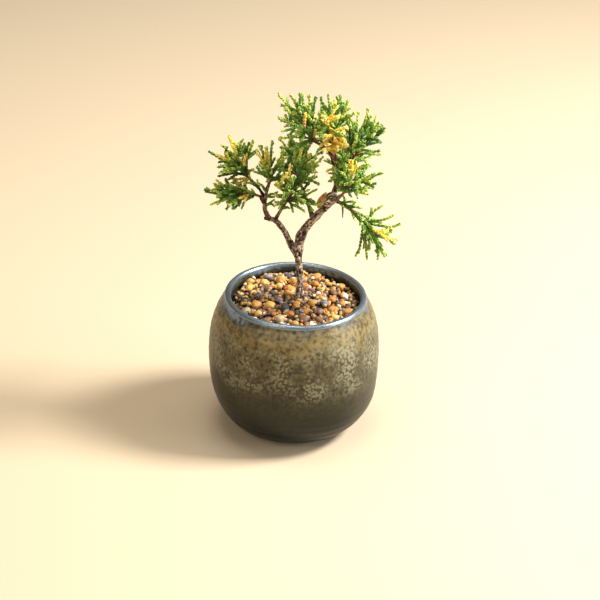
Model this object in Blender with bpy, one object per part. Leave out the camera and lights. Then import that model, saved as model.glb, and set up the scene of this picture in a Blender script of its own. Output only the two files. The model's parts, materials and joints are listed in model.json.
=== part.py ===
"""Miniature potted conifer: a scale-leaved juniper trained as a tiny two-armed tree.

It stands in a round, full-bellied glazed pot filled with coarse grit. Every limb is one
tapering solid, and each mass of foliage is one solid that grows by a seeded rule from a
single stem. Sizes are in millimetres, and MM turns them into Blender's metres.
The frame: +Z up, origin at the centre of the pot's flat underside, -Y is the front.
"""

import math
from dataclasses import dataclass

import bmesh
import bpy
import numpy as np
from mathutils import Matrix, Vector

MM = 0.001
GAP = 0.3  # clearance between two pieces that meet
GOLDEN_ANGLE = math.pi * (3 - math.sqrt(5))

# Pot ------------------------------------------------------------------------------------
POT_HEIGHT = 54.2
POT_WALL = 3.0
POT_FLOOR = 5.0
LIP_RADIUS = 1.15  # of the rounded bead round the mouth
MOUTH_RADIUS = 25.2  # to the middle of that bead
POT_BELLY = (  # height and outer radius, foot to shoulder
    (0.0, 16.6),
    (0.9, 19.0),
    (3.4, 23.7),
    (8.0, 27.7),
    (15.0, 30.7),
    (26.5, 32.0),
    (38.0, 31.4),
    (46.2, 29.4),
    (51.2, 27.1),
)
POT_SEGMENTS = 44
WALL_STEPS = 9  # rings up the outside of the wall
WALL_CROWDING = 1.35  # gathers those rings towards the strongly curved foot
BEAD_STEPS = 4
HAND_SWAY = 0.8  # how far the hand-thrown lower wall bulges towards +X
HAND_SWAY_HEIGHT = 9.0

# Grit -----------------------------------------------------------------------------------
GRIT_EDGE = 50.3  # height where it meets the wall
GRIT_TOP = 52.4  # the flat spot that the trunk stands over
GRIT_FLAT_RADIUS = 2.6  # of that spot
GRIT_CLEAR = 1.8  # over which the stones beside it rise to their full height
GRIT_RINGS = 13
GRIT_SEGMENTS = 2 * POT_SEGMENTS
STONE_SPREAD = 2.95  # the main stones lie on a spiral, the n-th at this times the root of n
STONE_RADIUS = 2.9
STONE_HEIGHT = 1.7  # from the hollows between the main stones to their tops
STONE_SUNK = 0.95  # the hollows, under the mound's surface
STONE_UNEVEN = 0.35  # how far single stones stand up or sink
GRIT_FOOT_STEP = 2.0  # how much narrower the filling is at the pot's floor
WALL_FIT = GAP + 0.15  # room at the wall, allowing for its flat facets

# Foliage rule ---------------------------------------------------------------------------
STEM_RADIUS = 0.6
HEART = 0.45  # how far the stem runs from its foot towards the middle of the mass
SHOOT_PROFILE = (  # share of a shoot's length and radius: twig, neck, leafy belly and tip
    (0.0, 0.6),
    (0.4, 0.55),
    (0.62, 0.42),
    (0.78, 0.95),
    (1.0, 0.08),
)
SHOOT_SPREAD = math.radians(138)  # how far round the ellipsoid from its own axis shoots aim
SHORTEST_SHOOT = 4.5
STRAY_SAG = 0.6
STRAY_CORDS = 0.62  # the length of the cords on a stray, as a share of the others
CORD_RADIUS = 1.0  # a cord of scale leaves, larger than life so that the crown is full
CORD_BELLY = 0.38  # share of the length at which a cord is thickest
CORD_LENGTHS = (8.6, 6.0)  # near the foot and near the tip of a shoot
CORD_LEANS = (math.radians(50), math.radians(34))
CORD_SHARES = (0.26, 0.64)  # the stretch of a shoot that bears cords
CORD_SPACING = 2.4
CORD_TRIES = ((1, 0), (1, 0.9), (1, -0.9), (0.75, 0), (0.75, 1.8), (0.75, -1.8))  # size, extra turn
CORD_LIFT = 0.1
CORD_SINK = 0.15
SKIN = 0.15  # free space kept round a shoot or cord


@dataclass(frozen=True)
class Limb:
    """A woody limb: its parent, where on it the limb springs, its way and its diameters."""

    parent: str
    share: float
    points: tuple
    diameters: tuple


@dataclass(frozen=True)
class Mass:
    """A foliage mass: the limb that carries it, the ellipsoid it fills and its shoots."""

    limb: str
    centre: tuple
    radii: tuple
    shoots: int
    strays: tuple = ()  # tips of single sprigs that reach past the ellipsoid


TRUNK_LINE = (
    (1.5, 0.0, GRIT_TOP + GAP),
    (1.5, 0.0, 54.6),
    (1.4, 0.0, 57.6),
    (1.2, 0.0, 62.0),
    (0.6, 0.0, 67.0),
    (0.4, 0.0, 71.0),
    (0.8, 0.0, 75.4),
    (1.4, 0.1, 78.0),
    (2.8, 0.3, 80.8),
    (5.0, 0.6, 83.6),
    (7.6, 0.9, 86.8),
    (10.2, 1.0, 89.8),
    (12.2, 1.0, 92.6),
)
TRUNK_DIAMETERS = (3.9, 3.6, 3.3, 3.1, 3.2, 3.4, 3.7, 3.5, 3.1, 2.9, 2.8, 2.7, 2.4)
TRUNK_SIDES = 10
LIMB_SIDES = 8

LIMBS = {
    "bough_left": Limb(
        "trunk",
        0.38,
        ((-3.3, 0.8, 75.1), (-4.6, 1.1, 77.8), (-6.4, 1.5, 80.4), (-8.6, 1.9, 82.5), (-10.9, 2.0, 82.8)),
        (2.2, 1.8),
    ),
    "limb_left": Limb(
        "bough_left",
        0.98,
        ((-12.2, 2.0, 86.0), (-12.4, 1.9, 89.6), (-11.9, 1.6, 94.2), (-11.1, 1.0, 97.2)),
        (1.8, 1.1),
    ),
    "limb_left_low": Limb("limb_left", 0.47, ((-14.2, 0.8, 92.2), (-15.8, 0.2, 93.0)), (1.2, 1.0)),
    "limb_left_high": Limb("limb_left", 0.58, ((-15.2, 2.8, 95.0), (-18.0, 3.0, 97.8)), (1.1, 0.9)),
    "limb_centre": Limb("bough_left", 0.80, ((-6.6, 1.0, 87.0), (-5.2, -0.4, 90.0)), (1.4, 1.0)),
    "leader": Limb(
        "trunk", 1.0, ((13.0, 1.2, 97.4), (13.3, 1.8, 102.4), (12.4, 1.7, 107.2), (11.6, 1.3, 110.6)), (2.2, 1.2)
    ),
    "limb_top_left": Limb("leader", 0.88, ((8.8, 0.6, 112.0), (6.0, -0.6, 114.2)), (1.2, 1.0)),
    "limb_top_right": Limb("leader", 0.40, ((16.0, 1.0, 105.2), (18.0, 0.2, 108.4)), (1.2, 1.0)),
    "limb_right": Limb("trunk", 0.99, ((16.2, -2.2, 91.6), (19.0, -4.6, 90.6)), (1.6, 1.1)),
    "limb_right_high": Limb("trunk", 0.95, ((13.4, -3.2, 94.2), (15.0, -5.4, 97.0)), (1.3, 1.0)),
    "limb_back_left": Limb("trunk", 0.76, ((2.4, 4.8, 90.4), (-0.6, 8.0, 96.4)), (1.5, 1.0)),
    "limb_back_right": Limb("trunk", 0.92, ((12.4, 4.6, 94.4), (14.8, 8.4, 98.0)), (1.5, 1.0)),
    "limb_back_top": Limb("leader", 0.24, ((11.8, 5.0, 104.0), (9.8, 8.0, 109.0)), (1.3, 1.0)),
}

LONG_SPRIG_TIP = (-8.7, -2.0, 133.2)
SIDE_SPRIG_TIP = (28.6, -6.0, 106.6)
LOW_TIPS = ((-34.0, -0.5, 93.8),)
HIGH_TIPS = ((-32.0, 1.0, 108.4), (-25.4, -1.5, 115.2))
CENTRE_TIPS = ((5.6, -8.0, 110.4), (-9.2, -6.0, 91.6))
HANGING_TIPS = (
    (27.8, -4.0, 91.7),
    (33.0, -10.0, 91.2),
    (35.2, -4.5, 84.8),
    (34.6, -11.5, 82.4),
    (31.7, -6.0, 73.3),
    (25.4, -3.5, 71.2),
    (22.0, -9.0, 75.7),
)
MASSES = {
    "foliage_left_low": Mass("limb_left_low", (-25.0, -1.4, 93.8), (9.4, 7.6, 5.8), 9, LOW_TIPS),
    "foliage_left_high": Mass("limb_left_high", (-22.4, 2.0, 105.6), (9.2, 8.4, 9.4), 10, HIGH_TIPS),
    "foliage_left_inner": Mass("limb_left", (-11.2, 0.0, 103.6), (7.8, 8.8, 10.4), 12),
    "foliage_centre": Mass("limb_centre", (-0.2, -4.8, 100.6), (10.6, 9.2, 12.2), 14, CENTRE_TIPS),
    "foliage_top_left": Mass("limb_top_left", (0.0, -2.0, 122.4), (9.6, 10.0, 11.6), 12, (LONG_SPRIG_TIP,)),
    "foliage_top": Mass("leader", (10.4, -2.6, 122.4), (9.2, 9.8, 11.4), 12),
    "foliage_top_right": Mass("limb_top_right", (19.8, -0.5, 117.4), (10.0, 10.0, 11.0), 13),
    "foliage_right": Mass("limb_right_high", (18.6, -8.0, 104.8), (8.8, 8.0, 8.0), 11, (SIDE_SPRIG_TIP,)),
    "foliage_hanging": Mass("limb_right", (28.6, -7.2, 82.6), (8.2, 6.6, 9.6), 4, HANGING_TIPS),
    "foliage_back_left": Mass("limb_back_left", (-1.4, 12.0, 103.4), (9.8, 8.8, 9.6), 11),
    "foliage_back_right": Mass("limb_back_right", (17.8, 13.0, 103.4), (9.8, 8.8, 9.6), 11),
    "foliage_back_top": Mass("limb_back_top", (8.6, 12.6, 116.0), (9.8, 8.6, 9.4), 11),
}


# Objects and materials ------------------------------------------------------------------
def material(name, colour, roughness, metallic=0.0):
    """A Principled BSDF of one colour."""
    made = bpy.data.materials.new(name)
    made.use_nodes = True
    shader = made.node_tree.nodes["Principled BSDF"]
    shader.inputs["Base Color"].default_value = (*colour, 1.0)
    shader.inputs["Roughness"].default_value = roughness
    shader.inputs["Metallic"].default_value = metallic
    return made


def add_object(name, mesh, finish):
    """Links a mesh into the scene under its own name and material."""
    mesh.name = name
    mesh.materials.clear()
    mesh.materials.append(finish)
    made = bpy.data.objects.new(name, mesh)
    bpy.context.scene.collection.objects.link(made)
    return made


def mesh_from(bm, name):
    """Turns a bmesh in millimetres into a smooth-shaded mesh in metres, its faces out."""
    bmesh.ops.recalc_face_normals(bm, faces=bm.faces)
    bmesh.ops.scale(bm, vec=(MM, MM, MM), verts=bm.verts)
    mesh = bpy.data.meshes.new(name)
    bm.to_mesh(mesh)
    bm.free()
    mesh.shade_smooth()
    return mesh


# Lines, tubes and lathe work ------------------------------------------------------------
def unit(vector):
    return vector / np.linalg.norm(vector)


def perpendicular(heading, turn):
    """A unit vector square to the heading, turned round it by an angle."""
    side = unit(np.cross(heading, (0.37, -0.21, 0.9)))
    return math.cos(turn) * side + math.sin(turn) * np.cross(heading, side)


def catmull_rom(stations, steps):
    """Rows of numbers on a smooth curve through the stations, `steps` to each span."""
    rows = np.array(stations, float)
    ends = np.vstack([2 * rows[0] - rows[1], rows, 2 * rows[-1] - rows[-2]])
    t = (np.arange(steps) / steps)[:, None]
    made = []
    for a, b, c, d in zip(ends, ends[1:], ends[2:], ends[3:]):
        bow = (2 * a - 5 * b + 4 * c - d) * t**2 + (3 * b - a - 3 * c + d) * t**3
        made.append(0.5 * (2 * b + (c - a) * t + bow))
    return np.vstack([*made, rows[-1]])


def point_along(path, share):
    """The point at a share of a path's length, and the heading there."""
    walk = np.concatenate([[0.0], np.cumsum(np.linalg.norm(np.diff(path, axis=0), axis=1))])
    point = np.array([np.interp(share * walk[-1], walk, path[:, axis]) for axis in range(3)])
    step = min(max(int(np.searchsorted(walk, share * walk[-1])), 1), len(path) - 1)
    return point, unit(path[step] - path[step - 1])


def frames_along(path, radii):
    """One matrix for each point of a path: its place, its heading and its radius as scale."""
    turn = Vector(path[1] - path[0]).to_track_quat("Z", "Y")
    frames = []
    for i, (point, radius) in enumerate(zip(path, radii)):
        heading = Vector(path[min(i + 1, len(path) - 1)] - path[max(i - 1, 0)]).normalized()
        turn = (turn @ Vector((0, 0, 1))).rotation_difference(heading) @ turn
        frames.append(Matrix.LocRotScale(Vector(point), turn, Vector((radius,) * 3)))
    return frames


def tube(name, path, radii, sides):
    """A capped, tapering tube: one disc extruded from frame to frame."""
    frames = frames_along(path, radii)
    bm = bmesh.new()
    disc = bmesh.ops.create_circle(bm, cap_ends=True, segments=sides, radius=1.0, matrix=frames[0])
    cap = disc["verts"][0].link_faces[0]
    for i, (before, after) in enumerate(zip(frames, frames[1:])):
        grown = bmesh.ops.extrude_face_region(bm, geom=[cap])["geom"]
        if i > 0:
            bmesh.ops.delete(bm, geom=[cap], context="FACES_ONLY")
        cap = next(item for item in grown if isinstance(item, bmesh.types.BMFace))
        bmesh.ops.transform(bm, matrix=after @ before.inverted(), verts=cap.verts)
    return mesh_from(bm, name)


def spin_profile(profile, segments):
    """A bmesh turned round Z from (radius, height) points that start and end on the axis."""
    bm = bmesh.new()
    points = [bm.verts.new((radius, 0.0, height)) for radius, height in profile]
    edges = [bm.edges.new(pair) for pair in zip(points, points[1:])]
    geom = [*points, *edges]
    bmesh.ops.spin(bm, geom=geom, axis=(0, 0, 1), angle=math.tau, steps=segments, use_merge=True)
    bmesh.ops.remove_doubles(bm, verts=bm.verts, dist=1e-4)
    return bm


# Pot and grit ---------------------------------------------------------------------------
def wall_radius(height):
    """Outer radius of the pot's wall at a height."""
    curve = catmull_rom(POT_BELLY, 8)
    return float(np.interp(height, curve[:, 0], curve[:, 1]))


def sway(bm):
    """Shifts the hand-thrown wall towards +X: nothing at the foot or above the belly."""
    for vertex in bm.verts:
        x = max(vertex.co.z, 0.0) / HAND_SWAY_HEIGHT
        vertex.co.x += HAND_SWAY * x * x * math.exp(2 - 2 * x)


def wall_heights():
    """Heights of the rings up the outside of the wall."""
    return POT_BELLY[-1][0] * (np.arange(WALL_STEPS + 1) / WALL_STEPS) ** WALL_CROWDING


def inner_heights():
    """Heights of the rings up the inside of the wall, from the floor."""
    return [h for h in wall_heights() if h > POT_FLOOR + 1][::-2][::-1]


def build_pot(finish):
    """The pot, turned in one piece: underside, belly, rounded lip, inner wall and floor."""
    outside = [(wall_radius(h), h) for h in wall_heights()]
    turns = np.linspace(math.radians(-20), math.radians(200), BEAD_STEPS + 1)
    top = POT_HEIGHT - LIP_RADIUS
    bead = [(MOUTH_RADIUS + LIP_RADIUS * math.cos(t), top + LIP_RADIUS * math.sin(t)) for t in turns]
    inside = [(wall_radius(h) - POT_WALL, h) for h in inner_heights()[::-1]]
    floor = [(inside[-1][0] - GRIT_FOOT_STEP, POT_FLOOR), (0.0, POT_FLOOR)]
    bm = spin_profile([(0.0, 0.0), *outside, *bead, *inside, *floor], POT_SEGMENTS)
    sway(bm)
    pot = add_object("pot", mesh_from(bm, "pot"), finish)
    pot.data.set_sharp_from_angle(angle=math.radians(50))


def grit_height(radius, edge_radius):
    """The mounded top of the grit, falling from the middle to the wall."""
    share = max(0.0, radius - GRIT_FLAT_RADIUS) / (edge_radius - GRIT_FLAT_RADIUS)
    return GRIT_TOP + (GRIT_EDGE - GRIT_TOP) * share**1.4


def main_stones(edge_radius):
    """The largest stones of the surface, as rows of x, y and how far each stands up."""
    rng = np.random.default_rng(7)
    count = int(((edge_radius - 0.6 * STONE_RADIUS) / STONE_SPREAD) ** 2)
    rows = []
    for n in range(count):
        radius, turn = STONE_SPREAD * math.sqrt(n + 0.7), n * GOLDEN_ANGLE
        rows.append((radius * math.cos(turn), radius * math.sin(turn), rng.uniform(-STONE_UNEVEN, STONE_UNEVEN)))
    return np.array(rows)


def stone_height(x, y, stones):
    """How far the main stones lift the surface at a place, or sink it between them."""
    away = np.hypot(stones[:, 0] - x, stones[:, 1] - y) / STONE_RADIUS
    domes = STONE_HEIGHT * np.sqrt(np.clip(1 - away**2, 0, 1)) + np.where(away < 1, stones[:, 2], 0)
    clear = math.hypot(x - TRUNK_LINE[0][0], y - TRUNK_LINE[0][1]) - GRIT_FLAT_RADIUS
    return (float(domes.max()) - STONE_SUNK) * min(max(clear / GRIT_CLEAR, 0), 1)


def build_grit(finish):
    """The grit that fills the pot, the main stones of its top standing up."""
    heights = [h for h in inner_heights() if h < GRIT_EDGE - 1]
    inset = POT_WALL + WALL_FIT
    foot_radius = wall_radius(heights[0]) - inset - GRIT_FOOT_STEP
    edge_radius = wall_radius(GRIT_EDGE) - inset
    profile = [(0.0, POT_FLOOR + GAP), (foot_radius, POT_FLOOR + GAP)]
    profile += [(wall_radius(h) - inset, h) for h in heights]
    profile += [(r, GRIT_EDGE) for r in np.linspace(edge_radius, 0.0, GRIT_RINGS + 1)]
    bm = spin_profile(profile, GRIT_SEGMENTS)
    stones = main_stones(edge_radius)
    foot_x, foot_y, _ = TRUNK_LINE[0]
    for vertex in bm.verts:
        x, y, z = vertex.co
        radius = math.hypot(x, y)
        if z < GRIT_EDGE - 0.01 or radius > edge_radius - 0.1:
            continue
        flat = min(radius, math.hypot(x - foot_x, y - foot_y))
        vertex.co.z = grit_height(flat, edge_radius) + stone_height(x, y, stones)
    sway(bm)
    grit = add_object("grit", mesh_from(bm, "grit"), finish)
    grit.data.shade_flat()


# Woody limbs ----------------------------------------------------------------------------
def clear_start(parent_path, parent_radii, share, towards, radius):
    """Where a limb starts: its end cap GAP clear of its parent, on the way to `towards`."""
    at = share * (len(parent_path) - 1)
    low = int(min(at, len(parent_path) - 2))
    root = parent_path[low] + (parent_path[low + 1] - parent_path[low]) * (at - low)
    heading = unit(np.array(towards, float) - root)
    cap = np.array([radius * perpendicular(heading, turn) for turn in np.linspace(0, math.tau, 13)])
    reach = 0.0
    while True:
        rim = root + heading * reach + cap
        apart = np.linalg.norm(rim[:, None] - parent_path[None], axis=2) - parent_radii[None]
        if apart.min() > GAP:
            return root + heading * reach
        reach += 0.05


def trace_limbs():
    """Every limb's centre line and radii, by name."""
    path = catmull_rom(TRUNK_LINE, 2)
    radii = catmull_rom([(d / 2,) for d in TRUNK_DIAMETERS], 2)[:, 0]
    lines = {"trunk": (path, radii)}
    for name, limb in LIMBS.items():
        parent_path, parent_radii = lines[limb.parent]
        dense, dense_radii = catmull_rom(parent_path, 6), catmull_rom(parent_radii[:, None], 6)[:, 0]
        base, tip = (d / 2 for d in limb.diameters)
        start = clear_start(dense, dense_radii, limb.share, limb.points[0], base)
        path = catmull_rom([tuple(start), *limb.points], 2)
        lines[name] = (path, np.linspace(base, tip, len(path)))
    return lines


def build_limbs(lines, finish):
    for name, (path, radii) in lines.items():
        sides = TRUNK_SIDES if name == "trunk" else LIMB_SIDES
        add_object(name, tube(name, path, radii, sides), finish)


# Foliage --------------------------------------------------------------------------------
def cord_radius_at(share):
    """Radius of a cord at a share of its length."""
    return CORD_RADIUS * min(share / CORD_BELLY, (1 - share) / (1 - CORD_BELLY))


class Space:
    """Tells how much free room there is inside one mass's own cell, round the limbs and cords."""

    def __init__(self, lines):
        self.solid_points = np.vstack([catmull_rom(path, 4) for path, _ in lines.values()])
        self.solid_radii = np.concatenate([catmull_rom(r[:, None], 4)[:, 0] for _, r in lines.values()])
        self.centres = {name: np.array(mass.centre) for name, mass in MASSES.items()}
        self.radii = {name: np.array(mass.radii) for name, mass in MASSES.items()}

    def depth(self, name, point):
        """0 at the middle of a mass's ellipsoid and 1 on its surface."""
        return float(np.linalg.norm((point - self.centres[name]) / self.radii[name]))

    def room(self, name, point, stray=False):
        """Millimetres from a point to the nearest solid or other cell, or -1 outside its own."""
        own = self.depth(name, point)
        if own > 1 and not stray:
            return -1.0
        least = float((np.linalg.norm(self.solid_points - point, axis=1) - self.solid_radii).min())
        for other in MASSES:
            if other != name:
                pace = 1 / self.radii[name].min() + 1 / self.radii[other].min()
                least = min(least, (self.depth(other, point) - own) / pace)
        return least

    def reach(self, name, root, heading):
        """How far a line from `root` runs before it leaves the cell."""
        length = 1.0
        while self.room(name, root + heading * length) > SKIN:
            length += 0.25
        return length

    def fits(self, name, root, end, stray):
        """Whether a cord keeps clear of everything but the shoot that it springs from."""
        shares = (0.45, 0.65, 0.85, 1.0)
        rooms = [self.room(name, root + (end - root) * share, stray) for share in shares]
        return all(room > cord_radius_at(share) + SKIN for room, share in zip(rooms, shares))

    def take(self, root, end):
        """Marks the outer part of a cord as taken."""
        shares = np.array((0.5, 0.65, 0.8, 1.0))
        self.solid_points = np.vstack([self.solid_points, root + np.outer(shares, end - root)])
        self.solid_radii = np.concatenate([self.solid_radii, [cord_radius_at(share) for share in shares]])


def stem_path(mass, line):
    """The one stem of a mass, from just clear of its limb's tip to the mass's heart."""
    path, _ = line
    heading = unit(path[-1] - path[-2])
    foot = path[-1] + heading * GAP
    heart = foot + (np.array(mass.centre) - foot) * HEART
    bend = foot + heading * 0.35 * np.linalg.norm(heart - foot)
    return catmull_rom([foot, bend, heart], 2)


def shoot_lines(name, mass, stem, space, rng):
    """The shoots of a mass, aimed evenly at its ellipsoid: (foot, bend, tip, is it a stray)."""
    axis = unit(np.array(mass.centre) - stem[0])
    lines = []
    for tip in mass.strays:
        bend = (stem[-1] + np.array(tip)) / 2 - (0, 0, STRAY_SAG)
        lines.append((stem[-1], bend, np.array(tip), True))
    for i in range(mass.shoots):
        lean = math.acos(1 - (1 - math.cos(SHOOT_SPREAD)) * (i + 0.4) / mass.shoots)
        sideways = perpendicular(axis, i * GOLDEN_ANGLE + rng.uniform(-0.3, 0.3))
        target = np.array(mass.centre) + mass.radii * (math.cos(lean) * axis + math.sin(lean) * sideways)
        foot, _ = point_along(stem, 1 - 0.75 * lean / SHOOT_SPREAD)
        heading = unit(target - foot)
        length = space.reach(name, foot, heading)
        if length > SHORTEST_SHOOT:
            bend = foot + (0.75 * heading + 0.25 * axis) * 0.4 * length
            lines.append((foot, bend, foot + heading * length, False))
    return lines


def shoot_path(foot, bend, tip):
    """Points and radii of a shoot, from its foot over its bend to its leafy tip."""
    path = catmull_rom([foot, bend, tip], 4)
    points = [point_along(path, share)[0] for share, _ in SHOOT_PROFILE]
    return np.array(points), np.array([radius for _, radius in SHOOT_PROFILE])


def cords_on(name, path, stray, space, rng):
    """The leafy cords along one shoot, as pairs of points, leaving out any that has no room."""
    length = np.linalg.norm(path[-1] - path[0])
    count = 1 + round((CORD_SHARES[1] - CORD_SHARES[0]) * length / CORD_SPACING)
    turn = rng.uniform(0, math.tau)
    cords = []
    for share in np.linspace(*CORD_SHARES, count):
        point, heading = point_along(path, share)
        lean = CORD_LEANS[0] + (CORD_LEANS[1] - CORD_LEANS[0]) * share
        size = (CORD_LENGTHS[0] + (CORD_LENGTHS[1] - CORD_LENGTHS[0]) * share) * rng.uniform(0.9, 1.1)
        size *= STRAY_CORDS if stray else 1
        turn += GOLDEN_ANGLE
        for shorter, turned in CORD_TRIES:
            sideways = perpendicular(heading, turn + turned)
            aim = unit(math.cos(lean) * heading + math.sin(lean) * sideways + np.array((0, 0, CORD_LIFT)))
            root, end = point - aim * CORD_SINK, point + aim * size * shorter
            if space.fits(name, root, end, stray):
                cords.append((root, end))
                space.take(root, end)
                break
    return cords


def unit_cord():
    """A six-faced spindle from the origin to +Z, one long and one in radius."""
    bm = bmesh.new()
    bmesh.ops.create_uvsphere(bm, u_segments=3, v_segments=2, radius=1.0)
    for vertex in bm.verts:
        vertex.co.z = {-1: 0.0, 0: CORD_BELLY, 1: 1.0}[round(vertex.co.z)]
    mesh = bpy.data.meshes.new("cord")
    bm.to_mesh(mesh)
    bm.free()
    return mesh


def outer_shell(mesh):
    """Keeps the largest closed shell: drops loose scraps and fills a sealed hollow."""
    bm = bmesh.new()
    bm.from_mesh(mesh)
    largest, left = set(), set(bm.verts)
    while left:
        shell, edge = set(), [left.pop()]
        while edge:
            vertex = edge.pop()
            shell.add(vertex)
            near = {e.other_vert(vertex) for e in vertex.link_edges} & left
            left -= near
            edge.extend(near)
        largest = max(largest, shell, key=len)
    bmesh.ops.delete(bm, geom=[v for v in bm.verts if v not in largest], context="VERTS")
    bm.to_mesh(mesh)
    bm.free()
    return mesh


def fuse(name, stem, others):
    """One closed mesh from a stem and the objects of a collection, which are then removed."""
    host = bpy.data.objects.new(name, stem)
    bpy.context.scene.collection.objects.link(host)
    union = host.modifiers.new("fuse", "BOOLEAN")
    union.operation = "UNION"
    union.operand_type = "COLLECTION"
    union.collection = others
    union.solver = "MANIFOLD"  # EXACT is slow over this many crossing cords
    graph = bpy.context.evaluated_depsgraph_get()
    fused = bpy.data.meshes.new_from_object(host.evaluated_get(graph))
    bpy.data.objects.remove(host)
    for item in list(others.objects):
        bpy.data.objects.remove(item)
    bpy.data.collections.remove(others)
    return outer_shell(fused)


def add_cord(parts, cord_mesh, root, end):
    """One cord among the parts of a mass."""
    cord = bpy.data.objects.new("cord", cord_mesh)
    turn = Vector(end - root).to_track_quat("Z", "Y")
    size = Vector((CORD_RADIUS, CORD_RADIUS, float(np.linalg.norm(end - root)))) * MM
    cord.matrix_world = Matrix.LocRotScale(Vector(root) * MM, turn, size)
    parts.objects.link(cord)


def build_mass(name, mass, line, space, cord_mesh, finish):
    """A foliage mass: its stem, the shoots on it and the leafy cords on them, as one solid."""
    rng = np.random.default_rng(sum(map(ord, name)))
    parts = bpy.data.collections.new(name)
    bpy.context.scene.collection.children.link(parts)
    stem = stem_path(mass, line)
    shoots = [(*shoot_path(*ends), stray) for *ends, stray in shoot_lines(name, mass, stem, space, rng)]
    for path, _, _ in shoots:
        space.take(path[2], path[-1])
    for path, radii, stray in shoots:
        parts.objects.link(bpy.data.objects.new("shoot", tube("shoot", path, radii, 3)))
        for root, end in cords_on(name, path, stray, space, rng):
            add_cord(parts, cord_mesh, root, end)
    stem_mesh = tube("stem", stem, np.full(len(stem), STEM_RADIUS), 5)
    add_object(name, fuse(name, stem_mesh, parts), finish).data.shade_flat()


def main():
    for item in list(bpy.data.objects):
        bpy.data.objects.remove(item)
    build_pot(material("olive metallic glaze", (0.16, 0.14, 0.09), 0.42, 0.25))
    build_grit(material("mixed grit", (0.42, 0.22, 0.08), 0.85))
    lines = trace_limbs()
    build_limbs(lines, material("grey brown bark", (0.20, 0.13, 0.08), 0.9))
    space = Space(lines)
    cord_mesh = unit_cord()
    green = material("green scale leaves", (0.09, 0.22, 0.04), 0.55)
    for name, mass in MASSES.items():
        build_mass(name, mass, lines[mass.limb], space, cord_mesh, green)


main()
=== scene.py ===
"""Looks of a miniature juniper in a round glazed pot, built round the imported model.

Lengths are in millimetres in the model's own frame: +Z up, the origin at the middle of the
pot's underside, -Y towards the viewer. MM turns them into Blender's metres. The limbs and
the foliage grow by the same seeded rule as the solids and are carried on to finer twigs.
"""

import json
import logging
import math
from collections.abc import Iterable, Sequence
from dataclasses import dataclass
from enum import Enum

import bmesh
import bpy
import numpy as np
from mathutils import Matrix, Vector, noise

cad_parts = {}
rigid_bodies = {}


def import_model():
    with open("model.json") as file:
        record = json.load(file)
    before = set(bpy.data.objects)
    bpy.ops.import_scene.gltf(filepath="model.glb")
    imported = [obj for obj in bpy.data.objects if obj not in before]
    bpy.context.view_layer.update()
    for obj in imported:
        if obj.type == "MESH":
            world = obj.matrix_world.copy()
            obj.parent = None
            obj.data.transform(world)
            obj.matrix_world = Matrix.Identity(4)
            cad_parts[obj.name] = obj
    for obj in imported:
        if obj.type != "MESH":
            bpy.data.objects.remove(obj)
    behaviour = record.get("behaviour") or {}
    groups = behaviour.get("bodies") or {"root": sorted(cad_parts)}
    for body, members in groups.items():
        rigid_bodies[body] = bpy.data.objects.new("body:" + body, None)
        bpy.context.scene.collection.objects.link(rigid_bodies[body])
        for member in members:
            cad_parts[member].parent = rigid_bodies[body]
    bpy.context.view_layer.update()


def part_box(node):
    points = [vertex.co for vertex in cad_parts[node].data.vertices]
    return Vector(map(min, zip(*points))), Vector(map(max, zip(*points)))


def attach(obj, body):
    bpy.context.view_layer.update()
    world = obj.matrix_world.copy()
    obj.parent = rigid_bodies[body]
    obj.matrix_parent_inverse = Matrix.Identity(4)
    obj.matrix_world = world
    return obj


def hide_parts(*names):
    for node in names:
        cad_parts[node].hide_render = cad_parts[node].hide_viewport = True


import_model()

LOG = logging.getLogger("potted_juniper")
MM = 0.001
GAP = 0.3  # clearance that the solids keep where two pieces meet
GOLDEN_ANGLE = math.pi * (3 - math.sqrt(5))
NOISE_SEED = 3  # noise vectors differ from run to run unless they are seeded

Colour = tuple[float, float, float]
Point = tuple[float, float, float]
Array = np.ndarray
Random = np.random.Generator
BMesh = bmesh.types.BMesh
Material = bpy.types.Material
Piece = bpy.types.Object
Socket = bpy.types.NodeSocket


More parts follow.
